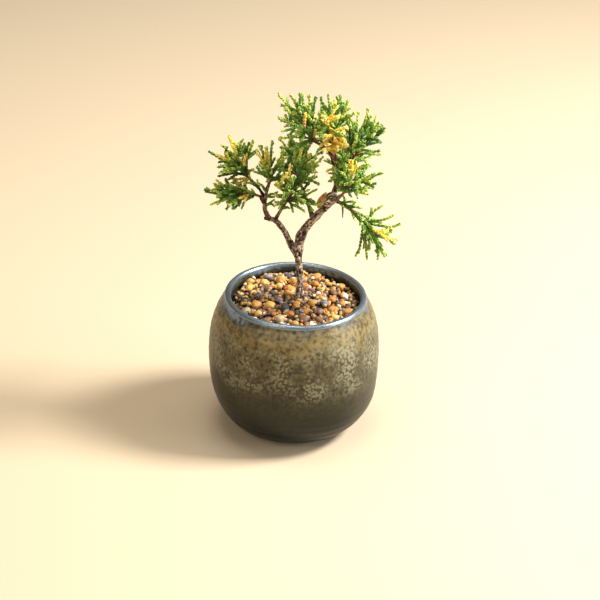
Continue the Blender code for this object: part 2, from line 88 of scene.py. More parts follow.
# Nodes of a material --------
class Surface:
    """A Principled material and the nodes that drive it."""

    def __init__(self, name: str, colour: Colour, roughness: float, **sockets: float) -> None:
        """Makes the material.

        Args:
            name: The material's name.
            colour: Base colour, where no node drives it.
            roughness: Roughness, where no node drives it.
            **sockets: Further values of the shader, named with _ for spaces.
        """
        self.material = bpy.data.materials.new(name)
        self.material.use_nodes = True
        self.nodes = self.material.node_tree.nodes
        self.shader = self.nodes["Principled BSDF"]
        self.shader.inputs["Base Color"].default_value = (*colour, 1.0)
        self.shader.inputs["Roughness"].default_value = roughness
        for socket, value in sockets.items():
            self.shader.inputs[socket.replace("_", " ")].default_value = value

    def add(self, kind: str, inputs: dict, **settings: object) -> bpy.types.Node:
        """Adds one node.

        Args:
            kind: Its type, without the leading ShaderNode.
            inputs: Values or sockets for its inputs, by name or number.
            **settings: Properties of the node.

        Returns:
            The node.
        """
        node = self.nodes.new("ShaderNode" + kind)
        for key, value in settings.items():
            setattr(node, key, value)
        for key, value in inputs.items():
            if isinstance(value, Socket):
                self.material.node_tree.links.new(value, node.inputs[key])
            else:
                node.inputs[key].default_value = value
        return node

    def drive(self, socket: str, value: Socket) -> None:
        """Lets a node's output drive one socket of the shader."""
        self.material.node_tree.links.new(value, self.shader.inputs[socket])

    def place(self) -> Socket:
        """The place on the piece, in Object coordinates."""
        return self.add("TexCoord", {}).outputs["Object"]

    def attribute(self, name: str) -> Socket:
        """A number that the piece's mesh carries."""
        return self.add("Attribute", {}, attribute_name=name).outputs["Fac"]

    def noise(self, size: float, detail: float = 3.0) -> Socket:
        """Noise whose patches are about `size` millimetres across."""
        inputs = {"Vector": self.place(), "Scale": 1 / (size * MM), "Detail": detail}
        return self.add("TexNoise", inputs).outputs["Fac"]

    def cells(self, size: float, jitter: Socket) -> Socket:
        """Distance to the middle of uneven cells.

        Args:
            size: About how wide a cell is, in millimetres.
            jitter: A colour that shifts the pattern by up to one cell.

        Returns:
            The distance, 0 in the middle of a cell.
        """
        shift = self.add("VectorMath", {0: jitter, 1: (size * MM,) * 3}, operation="MULTIPLY").outputs[0]
        place = self.add("VectorMath", {0: self.place(), 1: shift}).outputs[0]
        return self.add("TexVoronoi", {"Vector": place, "Scale": 1 / (size * MM)}).outputs["Distance"]

    def ramp(self, factor: Socket, stops: Iterable[tuple[float, Colour]]) -> Socket:
        """A colour looked up by a factor from 0 to 1.

        Args:
            factor: The factor.
            stops: Places and colours, from low to high.

        Returns:
            The colour.
        """
        node = self.add("ValToRGB", {"Fac": factor})
        points = list(stops)
        elements = node.color_ramp.elements
        while len(elements) < len(points):
            elements.new(0.5)
        for element, (place, colour) in zip(elements, points):
            element.position = place
            element.color = (*colour, 1.0)
        return node.outputs["Color"]

    def span(self, value: Socket, low: float, high: float, to: tuple[float, float] = (0.0, 1.0)) -> Socket:
        """Maps low..high, clamped and smoothed, to the two values of `to`."""
        inputs = {"Value": value, "From Min": low, "From Max": high, "To Min": to[0], "To Max": to[1]}
        return self.add("MapRange", inputs, interpolation_type="SMOOTHSTEP").outputs["Result"]

    def math(self, operation: str, a: object, b: object) -> Socket:
        """One sum, product or the like of two numbers or sockets."""
        return self.add("Math", {0: a, 1: b}, operation=operation).outputs[0]

    def mix(self, factor: object, a: object, b: object, blend: str = "MIX") -> Socket:
        """Two colours mixed by a factor."""
        inputs = {0: factor, 6: full(a), 7: full(b)}
        return self.add("Mix", inputs, data_type="RGBA", blend_type=blend).outputs[2]

    def bump(self, height: Socket, depth: float) -> None:
        """Stands the surface up by `depth` millimetres where the height is 1."""
        inputs = {"Height": height, "Distance": depth * MM, "Strength": 1.0}
        self.drive("Normal", self.add("Bump", inputs).outputs["Normal"])


def full(colour: object) -> object:
    """A colour with its alpha, or the socket as it is."""
    return (*colour, 1.0) if isinstance(colour, tuple) else colour


# Finishes --------
@dataclass(frozen=True)
class Glaze:
    """A satin, metallic ash glaze with pale crystals, by height on the pot."""

    name: str
    bands: tuple[tuple[float, Colour], ...]  # height and colour
    crystal: Colour
    crystal_heights: tuple[float, float, float, float]  # starts, is full, thins, ends
    fleck: Colour = (0.020, 0.018, 0.014)
    lip_height: float = 52.9
    drift: float = 2.2  # how far the bands wander up and down
    drift_patch: float = 14.0
    fleck_patch: float = 1.6
    crystal_size: float = 1.2
    crystal_rim: tuple[float, float] = (0.38, 0.66)  # where a crystal thins, as a share of its cell
    gathered_patch: float = 9.0  # size of the places where crystals gather
    warp_scale: float = 900.0  # of the noise that makes the crystals uneven
    speck_patch: float = 0.7  # of the dark specks on the lip
    relief: float = 0.06
    roughness: tuple[float, float, float] = (0.36, 0.50, 0.30)  # of the glaze, its crystals and the lip

    def ground(self, made: Surface, level: Socket) -> Socket:
        """The colour of the bands under flecks and crystals.

        Args:
            made: The material in the making.
            level: Height on the pot, with its drift.

        Returns:
            The colour.
        """
        low, high = self.bands[0][0], self.bands[-1][0]
        share = made.add("MapRange", {"Value": level, "From Min": low * MM, "From Max": high * MM})
        stops = [((height - low) / (high - low), colour) for height, colour in self.bands]
        return made.ramp(share.outputs["Result"], stops)

    def crystals(self, made: Surface, level: Socket) -> Socket:
        """How thick the crystals lie: cells in patches, within one belt.

        Args:
            made: The material in the making.
            level: Height on the pot, with its drift.

        Returns:
            0 where there are none, to 1.
        """
        starts, full_at, thins, ends = (height * MM for height in self.crystal_heights)
        rising, falling = made.span(level, starts, full_at), made.span(level, thins, ends, (1.0, 0.0))
        warp = made.add("TexNoise", {"Vector": made.place(), "Scale": self.warp_scale}).outputs["Color"]
        blobs = made.span(made.cells(self.crystal_size, warp), *self.crystal_rim, (1.0, 0.0))
        gathered = made.span(made.noise(self.gathered_patch, 5.0), 0.34, 0.60, (0.05, 1.0))
        belt = made.math("MULTIPLY", rising, falling)
        return made.math("MULTIPLY", made.math("MULTIPLY", blobs, gathered), belt)

    def material(self) -> Material:
        """Mixes the bands, flecks, crystals and lip, whose blue-grey is a painted reflection of cool light.

        Returns:
            The material.
        """
        made = Surface(self.name, self.bands[0][1], self.roughness[0], Specular_IOR_Level=0.20)
        height = made.add("SeparateXYZ", {"Vector": made.place()}).outputs["Z"]
        drift = made.span(made.noise(self.drift_patch), 0.3, 0.7, (-self.drift * MM, self.drift * MM))
        level = made.math("ADD", height, drift)
        crystals = self.crystals(made, level)
        flecks = made.span(made.noise(self.fleck_patch, 5.0), 0.38, 0.70, (0.0, 0.75))
        colour = made.mix(flecks, self.ground(made, level), self.fleck)
        colour = made.mix(made.math("MULTIPLY", crystals, 0.85), colour, self.crystal)
        lip = made.span(height, (self.lip_height - 0.5) * MM, self.lip_height * MM)
        specks = made.math("MULTIPLY", made.span(made.noise(self.speck_patch, 2.0), 0.60, 0.68), 0.7)
        # the top band's blue-grey on the lip is a painted reflection of cool light, with dark specks
        specked_lip_reflection = made.mix(specks, self.bands[-1][1], self.fleck)
        made.drive("Base Color", made.mix(lip, colour, specked_lip_reflection))
        made.drive("Metallic", made.span(lip, 0.0, 1.0, (0.15, 0.75)))
        glaze, crystal, rim = ((value,) * 3 for value in self.roughness)
        made.drive("Roughness", made.mix(lip, made.mix(crystals, glaze, crystal), rim))
        made.bump(made.math("ADD", made.math("MULTIPLY", crystals, 0.5), made.noise(0.9)), self.relief)
        return made.material


@dataclass(frozen=True)
class Mottled:
    """Rough stone or thin bark, mottled with a second colour."""

    name: str
    colour: Colour
    mottle: Colour
    patch: float = 0.9  # size of the patches, in millimetres

    def material(self) -> Material:
        """Mixes the two colours in patches.

        Returns:
            The material.
        """
        made = Surface(self.name, self.colour, 0.75)
        spots = made.span(made.noise(self.patch, 4.0), 0.38, 0.66)
        made.drive("Base Color", made.mix(spots, self.colour, self.mottle))
        made.drive("Roughness", made.span(spots, 0.0, 1.0, (0.62, 0.88)))
        made.bump(made.noise(0.35, 3.0), 0.05)
        return made.material


@dataclass(frozen=True)
class Bark:
    """Flaking bark: dark in the cracks, where the darker inner bark is deepened by painted shade, paler on
    the plates that stand proud.
    """

    name: str
    # near-black in the cracks: the darker inner bark with painted shade
    crack: Colour
    ridge: Colour
    plate: Colour
    levels: tuple[float, float, float] = (0.26, 0.52, 0.84)  # relief that shows each colour
    grain: float = 0.5  # size of the grain, in millimetres
    patch: float = 2.8  # size of the browner patches
    patch_tint: Colour = (0.32, 0.21, 0.14)
    roughness: tuple[float, float] = (0.95, 0.72)  # in the cracks and on the plates

    def material(self) -> Material:
        """Tints the bark by the mesh's own relief, with painted shade in the cracks.

        Returns:
            The material.
        """
        made = Surface(self.name, self.ridge, 0.85)
        grain = made.noise(self.grain, 4.0)
        level = made.math("ADD", made.attribute("relief"), made.span(grain, 0.2, 0.8, (-0.16, 0.16)))
        # the lowest relief takes the crack colour, which carries painted shade
        tone = made.ramp(level, zip(self.levels, (self.crack, self.ridge, self.plate)))
        patches = made.span(made.noise(self.patch, 3.0), 0.43, 0.56, (0.0, 0.85))
        made.drive("Base Color", made.mix(patches, tone, self.patch_tint, "MULTIPLY"))
        made.drive("Roughness", made.span(level, 0.1, 0.8, self.roughness))
        made.bump(grain, 0.07)
        return made.material


@dataclass(frozen=True)
class Leaf:
    """Waxy leaf skin of one plain colour."""

    name: str
    colour: Colour
    roughness: float = 0.46

    def material(self) -> Material:
        """The leaf skin as a material."""
        return Surface(self.name, self.colour, self.roughness, Specular_IOR_Level=0.34).material


@dataclass(frozen=True)
class Plain:
    """A matt surface with a faint unevenness, for the bed under the stones and the floor."""

    name: str
    colour: Colour
    shade: Colour
    patch: float  # size of the patches, in millimetres

    def material(self) -> Material:
        """Mixes the two colours faintly.

        Returns:
            The material.
        """
        made = Surface(self.name, self.colour, 0.9)
        made.drive("Base Color", made.mix(made.noise(self.patch, 4.0), self.colour, self.shade))
        made.bump(made.noise(self.patch / 5, 3.0), 0.02)
        return made.material


class Tone(Enum):
    """Plain colours of the scale leaves and of the green twigs under them."""

    SHADE = (0.026, 0.075, 0.014)
    DEEP = (0.052, 0.145, 0.022)
    GREEN = (0.145, 0.282, 0.034)
    FRESH = (0.390, 0.520, 0.080)
    LIME = (0.700, 0.750, 0.150)
    GOLD = (0.960, 0.680, 0.085)
    CREAM = (0.980, 0.860, 0.360)
    RUSSET = (0.640, 0.330, 0.120)


TONES = tuple(Tone)


class Variegation(Enum):
    """Tones of a branchlet's leaves from its foot to its tip."""

    SHADED = (Tone.SHADE, Tone.DEEP, Tone.DEEP, Tone.GREEN)
    PLAIN = (Tone.DEEP, Tone.GREEN, Tone.GREEN, Tone.FRESH)
    YOUNG = (Tone.DEEP, Tone.GREEN, Tone.FRESH, Tone.LIME)
    GILT = (Tone.GREEN, Tone.LIME, Tone.GOLD, Tone.GOLD)
    GOLDEN = (Tone.GOLD, Tone.GOLD, Tone.GOLD, Tone.CREAM)
    RUSTY = (Tone.RUSSET, Tone.RUSSET, Tone.GOLD, Tone.GOLD)


# Small shapes in joined meshes --------
class Stock:
    """A small shape kept as arrays, to be repeated in joined meshes."""

    def __init__(self, bm: BMesh) -> None:
        """Turns the shape's faces out, cuts them to triangles and takes them over.

        Args:
            bm: The shape, which is used up.
        """
        bmesh.ops.recalc_face_normals(bm, faces=bm.faces)
        bmesh.ops.triangulate(bm, faces=bm.faces)
        self.points = np.array([vertex.co[:] for vertex in bm.verts])
        self.faces = np.array([[vertex.index for vertex in face.verts] for face in bm.faces])
        bm.free()


class Heap:
    """Copies of small shapes, joined into one mesh."""

    def __init__(self) -> None:
        """Starts empty."""
        self.points: list[Array] = []
        self.faces: list[Array] = []
        self.kinds: list[Array] = []
        self.count = 0

    def add(self, stock: Stock, places: Array, axes: Array, kinds: Array) -> None:
        """Adds copies of a shape.

        Args:
            stock: The shape.
            places: Where each copy's origin goes, (n, 3).
            axes: What each copy's X, Y and Z become, as the columns of (n, 3, 3).
            kinds: Each copy's material slot, (n,).
        """
        made = places[:, None, :] + np.einsum("nij,kj->nki", axes, stock.points)
        offsets = self.count + np.arange(len(places)) * len(stock.points)
        self.points.append(made.reshape(-1, 3))
        self.faces.append((stock.faces[None] + offsets[:, None, None]).reshape(-1, 3))
        self.kinds.append(np.repeat(kinds, len(stock.faces)))
        self.count += len(places) * len(stock.points)

    def add_one(self, stock: Stock, kind: int) -> None:
        """Adds a shape where it is."""
        self.add(stock, np.zeros((1, 3)), np.eye(3)[None], np.array([kind]))

    def build(self, name: str, materials: Sequence[Material]) -> Piece:
        """The joined, smooth-shaded mesh as an object, in metres.

        Args:
            name: The piece's name.
            materials: The material of each slot.

        Returns:
            The object.
        """
        points, faces = np.concatenate(self.points), np.concatenate(self.faces)
        mesh = bpy.data.meshes.new(name)
        mesh.vertices.add(len(points))
        mesh.vertices.foreach_set("co", (points * MM).astype(np.float32).ravel())
        mesh.loops.add(faces.size)
        mesh.loops.foreach_set("vertex_index", faces.astype(np.int32).ravel())
        mesh.polygons.add(len(faces))
        mesh.polygons.foreach_set("loop_start", np.arange(0, faces.size, 3, dtype=np.int32))
        for material in materials:
            mesh.materials.append(material)
        mesh.polygons.foreach_set("material_index", np.concatenate(self.kinds).astype(np.int32))
        mesh.update(calc_edges=True)
        mesh.shade_smooth()
        return place_piece(name, mesh)


def place_piece(name: str, mesh: bpy.types.Mesh) -> Piece:
    """Links a mesh into the scene as an object at the origin.

    Args:
        name: The piece's name.
        mesh: Its mesh, in metres.

    Returns:
        The object.
    """
    made = bpy.data.objects.new(name, mesh)
    bpy.context.scene.collection.objects.link(made)
    return made


def piece_from(bm: BMesh, name: str, *materials: Material) -> Piece:
    """A smooth-shaded object from a bmesh in millimetres, its faces out.

    Args:
        bm: The shape, which is used up.
        name: The piece's name.
        *materials: The material of each slot.

    Returns:
        The object.
    """
    bmesh.ops.recalc_face_normals(bm, faces=bm.faces)
    bmesh.ops.scale(bm, vec=(MM, MM, MM), verts=bm.verts)
    mesh = bpy.data.meshes.new(name)
    bm.to_mesh(mesh)
    bm.free()
    mesh.shade_smooth()
    for material in materials:
        mesh.materials.append(material)
    return place_piece(name, mesh)


def settle(piece: Piece, slot: str, *nodes: str) -> None:
    """Rides a finished piece on the part, in the place of the nodes that it stands for.

    Args:
        piece: The piece.
        slot: The record's material slot; not used.
        *nodes: The CAD nodes that it replaces.
    """
    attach(piece, "root")
    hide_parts(*nodes)
    triangles = sum(len(face.vertices) - 2 for face in piece.data.polygons)
    LOG.info("%s: %d triangles for %s", piece.name, triangles, ", ".join(nodes))


# Lines and tubes --------
def between(ends: Sequence[float], share: float) -> float:
    """The value at a share of the way from the first end to the second."""
    return ends[0] + (ends[1] - ends[0]) * share


def seed_of(name: str) -> int:
    """A seed that is always the same for a name."""
    return sum(map(ord, name))


def unit(vector: Array) -> Array:
    """The vector at length 1."""
    return vector / np.linalg.norm(vector)


def perpendicular(heading: Array, turn: float) -> Array:
    """A unit vector square to the heading, turned round it by an angle."""
    side = unit(np.cross(heading, (0.37, -0.21, 0.9)))
    return math.cos(turn) * side + math.sin(turn) * np.cross(heading, side)


def catmull_rom(stations: Sequence, steps: int) -> Array:
    """A smooth curve through the stations.

    Args:
        stations: Rows of numbers.
        steps: Number of points to each span.

    Returns:
        The curve's rows.
    """
    rows = np.array(stations, float)
    ends = np.vstack([2 * rows[0] - rows[1], rows, 2 * rows[-1] - rows[-2]])
    t = (np.arange(steps) / steps)[:, None]
    made = []
    for a, b, c, d in zip(ends, ends[1:], ends[2:], ends[3:]):
        bow = (2 * a - 5 * b + 4 * c - d) * t**2 + (3 * b - a - 3 * c + d) * t**3
        made.append(0.5 * (2 * b + (c - a) * t + bow))
    return np.vstack([*made, rows[-1]])


def walked(path: Array) -> Array:
    """Length walked at each point of a path."""
    return np.concatenate([[0.0], np.cumsum(np.linalg.norm(np.diff(path, axis=0), axis=1))])


def sampled(rows: Array, walk: Array, stops: Array) -> Array:
    """Rows of numbers read off, column by column, where the walk reaches each stop."""
    return np.column_stack([np.interp(stops, walk, column) for column in rows.T])


def point_along(path: Array, share: float) -> tuple[Array, Array]:
    """The point at a share of a path's length, and the heading there.

    Args:
        path: The path's points.
        share: The share, from 0 to 1.

    Returns:
        The point and the unit vector along the path.
    """
    walk = walked(path)
    point = sampled(path, walk, np.array([share * walk[-1]]))[0]
    step = min(max(int(np.searchsorted(walk, share * walk[-1])), 1), len(path) - 1)
    return point, unit(path[step] - path[step - 1])


def evenly(path: Array, radii: Array, step: float) -> tuple[Array, Array]:
    """The same line with its points evenly spaced.

    Args:
        path: Centre line.
        radii: Radius at each of its points.
        step: About how far apart the new points are.

    Returns:
        The new line and its radii.
    """
    fine = catmull_rom(np.column_stack([path, radii]), 6)
    walk = walked(fine[:, :3])
    stops = np.linspace(0.0, walk[-1], max(3, round(walk[-1] / step) + 1))
    made = sampled(fine, walk, stops)
    return made[:, :3], made[:, 3]


def frames_along(path: Array, radii: Array) -> list[Matrix]:
    """Frames that turn as little as they can from point to point.

    Args:
        path: Centre line.
        radii: Radius at each of its points.

    Returns:
        A matrix for each point: its place, its heading as Z and its radius as scale.
    """
    turn = Vector(path[1] - path[0]).to_track_quat("Z", "Y")
    frames = []
    for i, (point, radius) in enumerate(zip(path, radii)):
        heading = Vector(path[min(i + 1, len(path) - 1)] - path[max(i - 1, 0)]).normalized()
        turn = (turn @ Vector((0, 0, 1))).rotation_difference(heading) @ turn
        frames.append(Matrix.LocRotScale(Vector(point), turn, Vector((radius,) * 3)))
    return frames


def tube(path: Array, radii: Array, sides: int) -> tuple[BMesh, list]:
    """A capped tube: one disc extruded from frame to frame.

    Args:
        path: Centre line.
        radii: Radius at each of its points.
        sides: Number of sides.

    Returns:
        The bmesh and the numbers of the vertices in each ring.
    """
    frames = frames_along(path, radii)
    bm = bmesh.new()
    disc = bmesh.ops.create_circle(bm, cap_ends=True, segments=sides, radius=1.0, matrix=frames[0])
    cap = disc["verts"][0].link_faces[0]
    rings = [list(cap.verts)]
    for i, (before, after) in enumerate(zip(frames, frames[1:])):
        grown = bmesh.ops.extrude_face_region(bm, geom=[cap])["geom"]
        if i > 0:
            bmesh.ops.delete(bm, geom=[cap], context="FACES_ONLY")
        cap = next(item for item in grown if isinstance(item, bmesh.types.BMFace))
        bmesh.ops.transform(bm, matrix=after @ before.inverted(), verts=cap.verts)
        rings.append(list(cap.verts))
    bm.verts.index_update()
    return bm, [[vertex.index for vertex in ring] for ring in rings]


# Pot --------
@dataclass(frozen=True)
class Pot:
    """The round, full-bellied pot, thrown in one piece."""

    wall: float = 3.0
    floor: float = 5.0
    lip_radius: float = 1.15  # of the rounded bead round the mouth
    mouth_radius: float = 25.2  # to the middle of that bead
    belly: tuple = (  # height and outer radius, foot to shoulder
        (0.0, 16.6),
        (0.9, 19.0),
        (3.4, 23.7),
        (8.0, 27.7),
        (15.0, 30.7),
        (26.5, 32.0),
        (38.0, 31.4),
        (46.2, 29.4),
        (51.2, 27.1),
    )
    sway: float = 0.8  # how far the lower wall bulges towards +X
    sway_height: float = 9.0
    segments: int = 150
    steps: int = 9  # rings to each stretch of the belly
    bead_points: int = 15
    bead_ends: tuple[float, float] = (math.radians(-20), math.radians(200))
    flat: float = 8.0  # radius of the underside's even middle
    ring_pitch: float = 3.3  # of the potter's throwing rings
    ring_depth: float = 0.06
    dent_depths: tuple = ((0.30, 17.0), (0.05, 3.5))  # depth and size of broad and fine dents
    bare_height: float = 0.8  # of the unglazed foot
    height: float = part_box("pot")[1].z / MM

    def wall_radius(self, height: float) -> float:
        """Outer radius of the wall at a height."""
        curve = catmull_rom(self.belly, 8)
        return float(np.interp(height, curve[:, 0], curve[:, 1]))

    def swayed(self, vertex: bmesh.types.BMVert) -> None:
        """Shifts a point of the hand-thrown wall towards +X."""
        x = max(vertex.co.z, 0.0) / self.sway_height
        vertex.co.x += self.sway * x * x * math.exp(2 - 2 * x)

    def profile(self) -> list[tuple[float, float]]:
        """Radius and height, from the underside over the lip to the middle of the floor.

        Returns:
            The points of the outline.
        """
        curve = catmull_rom(self.belly, self.steps)
        outside = [(radius, height) for height, radius in curve]
        turns = np.linspace(*self.bead_ends, self.bead_points)
        top = self.height - self.lip_radius
        r = self.lip_radius
        bead = [(self.mouth_radius + r * math.cos(t), top + r * math.sin(t)) for t in turns]
        inside = [(radius - self.wall, height) for height, radius in curve[::-2] if height > self.floor + 1]
        edge = inside[-1][0] - 2.0
        underside, floor = [(0.0, 0.0), (self.flat, 0.0)], [(edge, self.floor), (0.0, self.floor)]
        return [*underside, *outside, *bead, *inside, *floor]

    def throw(self, vertex: bmesh.types.BMVert) -> None:
        """Gives a point of the wall the faint rings and dents of the potter's hands.

        Args:
            vertex: The point, which moves.
        """
        x, y, z = vertex.co
        radius = math.hypot(x, y)
        if radius < 1.0:
            return
        held = min(1.0, max(0.0, (z - 1.0) / 6.0)) * min(1.0, max(0.0, (self.height - z) / 3.0) + 0.15)
        wander = 2.0 * noise.noise(Vector((x, y, 0)) / 30)
        rings = self.ring_depth * math.sin(z * math.tau / self.ring_pitch + wander)
        dents = sum(depth * noise.noise(vertex.co / size) for depth, size in self.dent_depths)
        push = (rings + dents) * held / radius
        vertex.co.x += x * push
        vertex.co.y += y * push
        if z > self.height - 2 * self.lip_radius:
            vertex.co.z += 0.16 * noise.noise(Vector((x, y, 0)) / 11) - 0.16

    def build(self, outside: Glaze, inside: Glaze, clay: Plain) -> Piece:
        """The glazed pot.

        Args:
            outside: Glaze of the outer wall and the lip.
            inside: Glaze of the inner wall.
            clay: The bare foot.

        Returns:
            The piece.
        """
        bm = spin_profile(self.profile(), self.segments)
        for vertex in bm.verts:
            self.throw(vertex)
            self.swayed(vertex)
        bmesh.ops.recalc_face_normals(bm, faces=bm.faces)
        for face in bm.faces:
            middle = face.calc_center_median()
            outwards = face.normal.x * middle.x + face.normal.y * middle.y
            faces_axis = outwards < -0.25 * math.hypot(middle.x, middle.y)
            on_floor = middle.z < self.floor + 1 and face.normal.z > 0.2
            if middle.z < self.bare_height:
                face.material_index = 2
            elif faces_axis or on_floor:
                face.material_index = 1
        finishes = (outside.material(), inside.material(), clay.material())
        return piece_from(bm, "pot_glazed", *finishes)


def spin_profile(profile: Sequence[tuple[float, float]], segments: int) -> BMesh:
    """A shell turned round Z.

    Args:
        profile: Radius and height of points that start and end on the axis.
        segments: Steps of the turn.

    Returns:
        The closed shell.
    """
    bm = bmesh.new()
    points = [bm.verts.new((radius, 0.0, height)) for radius, height in profile]
    edges = [bm.edges.new(pair) for pair in zip(points, points[1:])]
    geom = [*points, *edges]
    bmesh.ops.spin(bm, geom=geom, axis=(0, 0, 1), angle=math.tau, steps=segments, use_merge=True)
    bmesh.ops.remove_doubles(bm, verts=bm.verts, dist=1e-4)
    return bm


# Grit --------
@dataclass(frozen=True)
class Grit:
    """The grit that fills the pot: a bed of dark dust, darkened further as painted shade in the gaps
    between the stones, and the loose stones that cover it.
    """

    pot: Pot
    edge_height: float = 50.3  # where it meets the wall
    top_height: float = 52.4  # round the trunk
    trunk_foot: tuple = (1.5, 0.0)
    flat_radius: float = 2.6  # of the even spot round the trunk's foot
    clear: float = 1.8  # over which the stones beside it rise to their full height
    spread: float = 2.95  # the main stones lie on a spiral, the n-th at this times the root of n
    dome_radius: float = 2.9
    dome_height: float = 1.7
    sunk: float = 0.95  # the hollows between the main stones, under the mound's surface
    uneven: float = 0.35  # how far single main stones stand up or sink
    heaped: float = 1.5  # how much higher the stones lie against the back of the wall
    bed_depth: float = 1.7  # of the bed under the stones' surface
    bed_rings: tuple[int, int] = (16, 40)  # up its wall and across its top
    bed_segments: int = 120
    bed_rounding: float = 2.2  # at its lower edge
    foot_gap: float = 0.3
    main_sizes: tuple[float, float] = (3.1, 4.5)
    sizes: tuple = ((2.2, 3.1, 330), (1.3, 2.2, 1300))  # of the others, and how many are tried
    packing: float = 0.42  # least distance of two stones, as a share of their sizes
    under_stones: int = 560  # in the gaps between the others
    under_sizes: tuple[float, float] = (1.5, 2.3)
    under_depths: tuple[float, float] = (0.7, 1.3)
    skewed: float = 0.22  # how far a stone's corners move, before its edges are worn
    worn: tuple[float, float] = (0.30, 0.44)
    chipped: float = 0.06  # and after
    seed: int = 5
    main_seed: int = 7
    spiral_start: float = 0.7  # how far out the spiral of main stones begins
    shape_count: int = 9

    @property
    def edge_radius(self) -> float:
        """Radius at which the surface meets the wall."""
        return self.pot.wall_radius(self.edge_height) - self.pot.wall - 0.45

    def main_stones(self) -> Array:
        """The largest stones, as rows of x, y and how far each stands up.

        Returns:
            The rows.
        """
        rng = np.random.default_rng(self.main_seed)
        count = int(((self.edge_radius - 0.6 * self.dome_radius) / self.spread) ** 2)
        rows = []
        for n in range(count):
            radius, turn = self.spread * math.sqrt(n + self.spiral_start), n * GOLDEN_ANGLE
            up = rng.uniform(-self.uneven, self.uneven)
            rows.append((radius * math.cos(turn), radius * math.sin(turn), up))
        return np.array(rows)

    def surface(self, x: float, y: float, stones: Array) -> float:
        """Height of the mounded surface at a place, raised over each main stone.

        Args:
            x: The place.
            y: The place.
            stones: The main stones.

        Returns:
            The height in millimetres.
        """
        from_trunk = math.hypot(x - self.trunk_foot[0], y - self.trunk_foot[1])
        beyond = max(0.0, min(math.hypot(x, y), from_trunk) - self.flat_radius)
        share = beyond / (self.edge_radius - self.flat_radius)
        mound = self.top_height + (self.edge_height - self.top_height) * min(share, 1.1) ** 1.4
        away = np.hypot(stones[:, 0] - x, stones[:, 1] - y) / self.dome_radius
        domes = self.dome_height * np.sqrt(np.clip(1 - away**2, 0, 1)) + np.where(away < 1, stones[:, 2], 0)
        full_at = min(max((from_trunk - self.flat_radius) / self.clear, 0), 1)
        heaped = self.heaped * (max(y, 0.0) / self.edge_radius) ** 1.5
        return mound + heaped + (float(domes.max()) - self.sunk) * full_at

    def bed(self, finish: Plain) -> Piece:
        """The filling under the loose stones: dark dust whose colour also carries painted shade for the
        gaps between them.

        Args:
            finish: Its finish.

        Returns:
            The piece.
        """
        pot, foot = self.pot, self.pot.floor + self.foot_gap
        level, rim = self.edge_height - self.bed_depth, self.edge_radius + 0.3
        heights = np.linspace(pot.floor + 1.5, level - 0.5, self.bed_rings[0])
        walls = [(pot.wall_radius(h) - pot.wall - 0.1, h) for h in heights]
        top = [(r, level) for r in np.linspace(rim, 0.0, self.bed_rings[1])]
        rounding = (walls[0][0] - self.bed_rounding, foot)
        bm = spin_profile([(0.0, foot), rounding, *walls, *top], self.bed_segments)
        stones = self.main_stones()
        for vertex in bm.verts:
            if vertex.co.z > level - 0.2:
                vertex.co.z = self.surface(vertex.co.x, vertex.co.y, stones) - self.bed_depth
                vertex.co.z += 0.4 * noise.noise(vertex.co / 1.4)
            pot.swayed(vertex)
        return piece_from(bm, "grit_bed", finish.material())

    def shapes(self, rng: Random) -> list[Stock]:
        """A few stone shapes: blocks with worn edges and uneven corners.

        Args:
            rng: Source of random numbers.

        Returns:
            The shapes.
        """
        made = []
        for _ in range(self.shape_count):
            bm = bmesh.new()
            bmesh.ops.create_cube(bm, size=1.5)
            for vertex in bm.verts:
                vertex.co += Vector(rng.uniform(-self.skewed, self.skewed, 3))
            worn, geom = rng.uniform(*self.worn), [*bm.edges, *bm.verts]
            bmesh.ops.bevel(bm, geom=geom, offset=worn, affect="EDGES", segments=1, profile=0.5,
                            material=-1)
            for vertex in bm.verts:
                vertex.co += Vector(rng.uniform(-self.chipped, self.chipped, 3))
            made.append(Stock(bm))
        return made

    def spots(self, rng: Random, keep_clear: tuple[float, float, float]) -> Array:
        """Where the surface stones lie: rows of x, y and size.

        Args:
            rng: Source of random numbers.
            keep_clear: x, y and radius of the trunk's foot.

        Returns:
            The rows.
        """
        main = self.main_stones()
        away = np.hypot(main[:, 0] - keep_clear[0], main[:, 1] - keep_clear[1])
        main[:, 2] = rng.uniform(*self.main_sizes, len(main))
        rows = main[away > keep_clear[2] + 0.4 * main[:, 2]]
        for least, most, tries in self.sizes:
            for _ in range(tries * 3):
                size = rng.uniform(least, most)
                radius = math.sqrt(rng.uniform()) * (self.edge_radius + 0.2 - size / 2)
                turn = rng.uniform(0, math.tau)
                x, y = radius * math.cos(turn), radius * math.sin(turn)
                if math.hypot(x - keep_clear[0], y - keep_clear[1]) < keep_clear[2] + 0.3 * size:
                    continue
                apart = np.hypot(rows[:, 0] - x, rows[:, 1] - y) - self.packing * (rows[:, 2] + size)
                if apart.min() > 0:
                    rows = np.vstack([rows, (x, y, size)])
        return rows

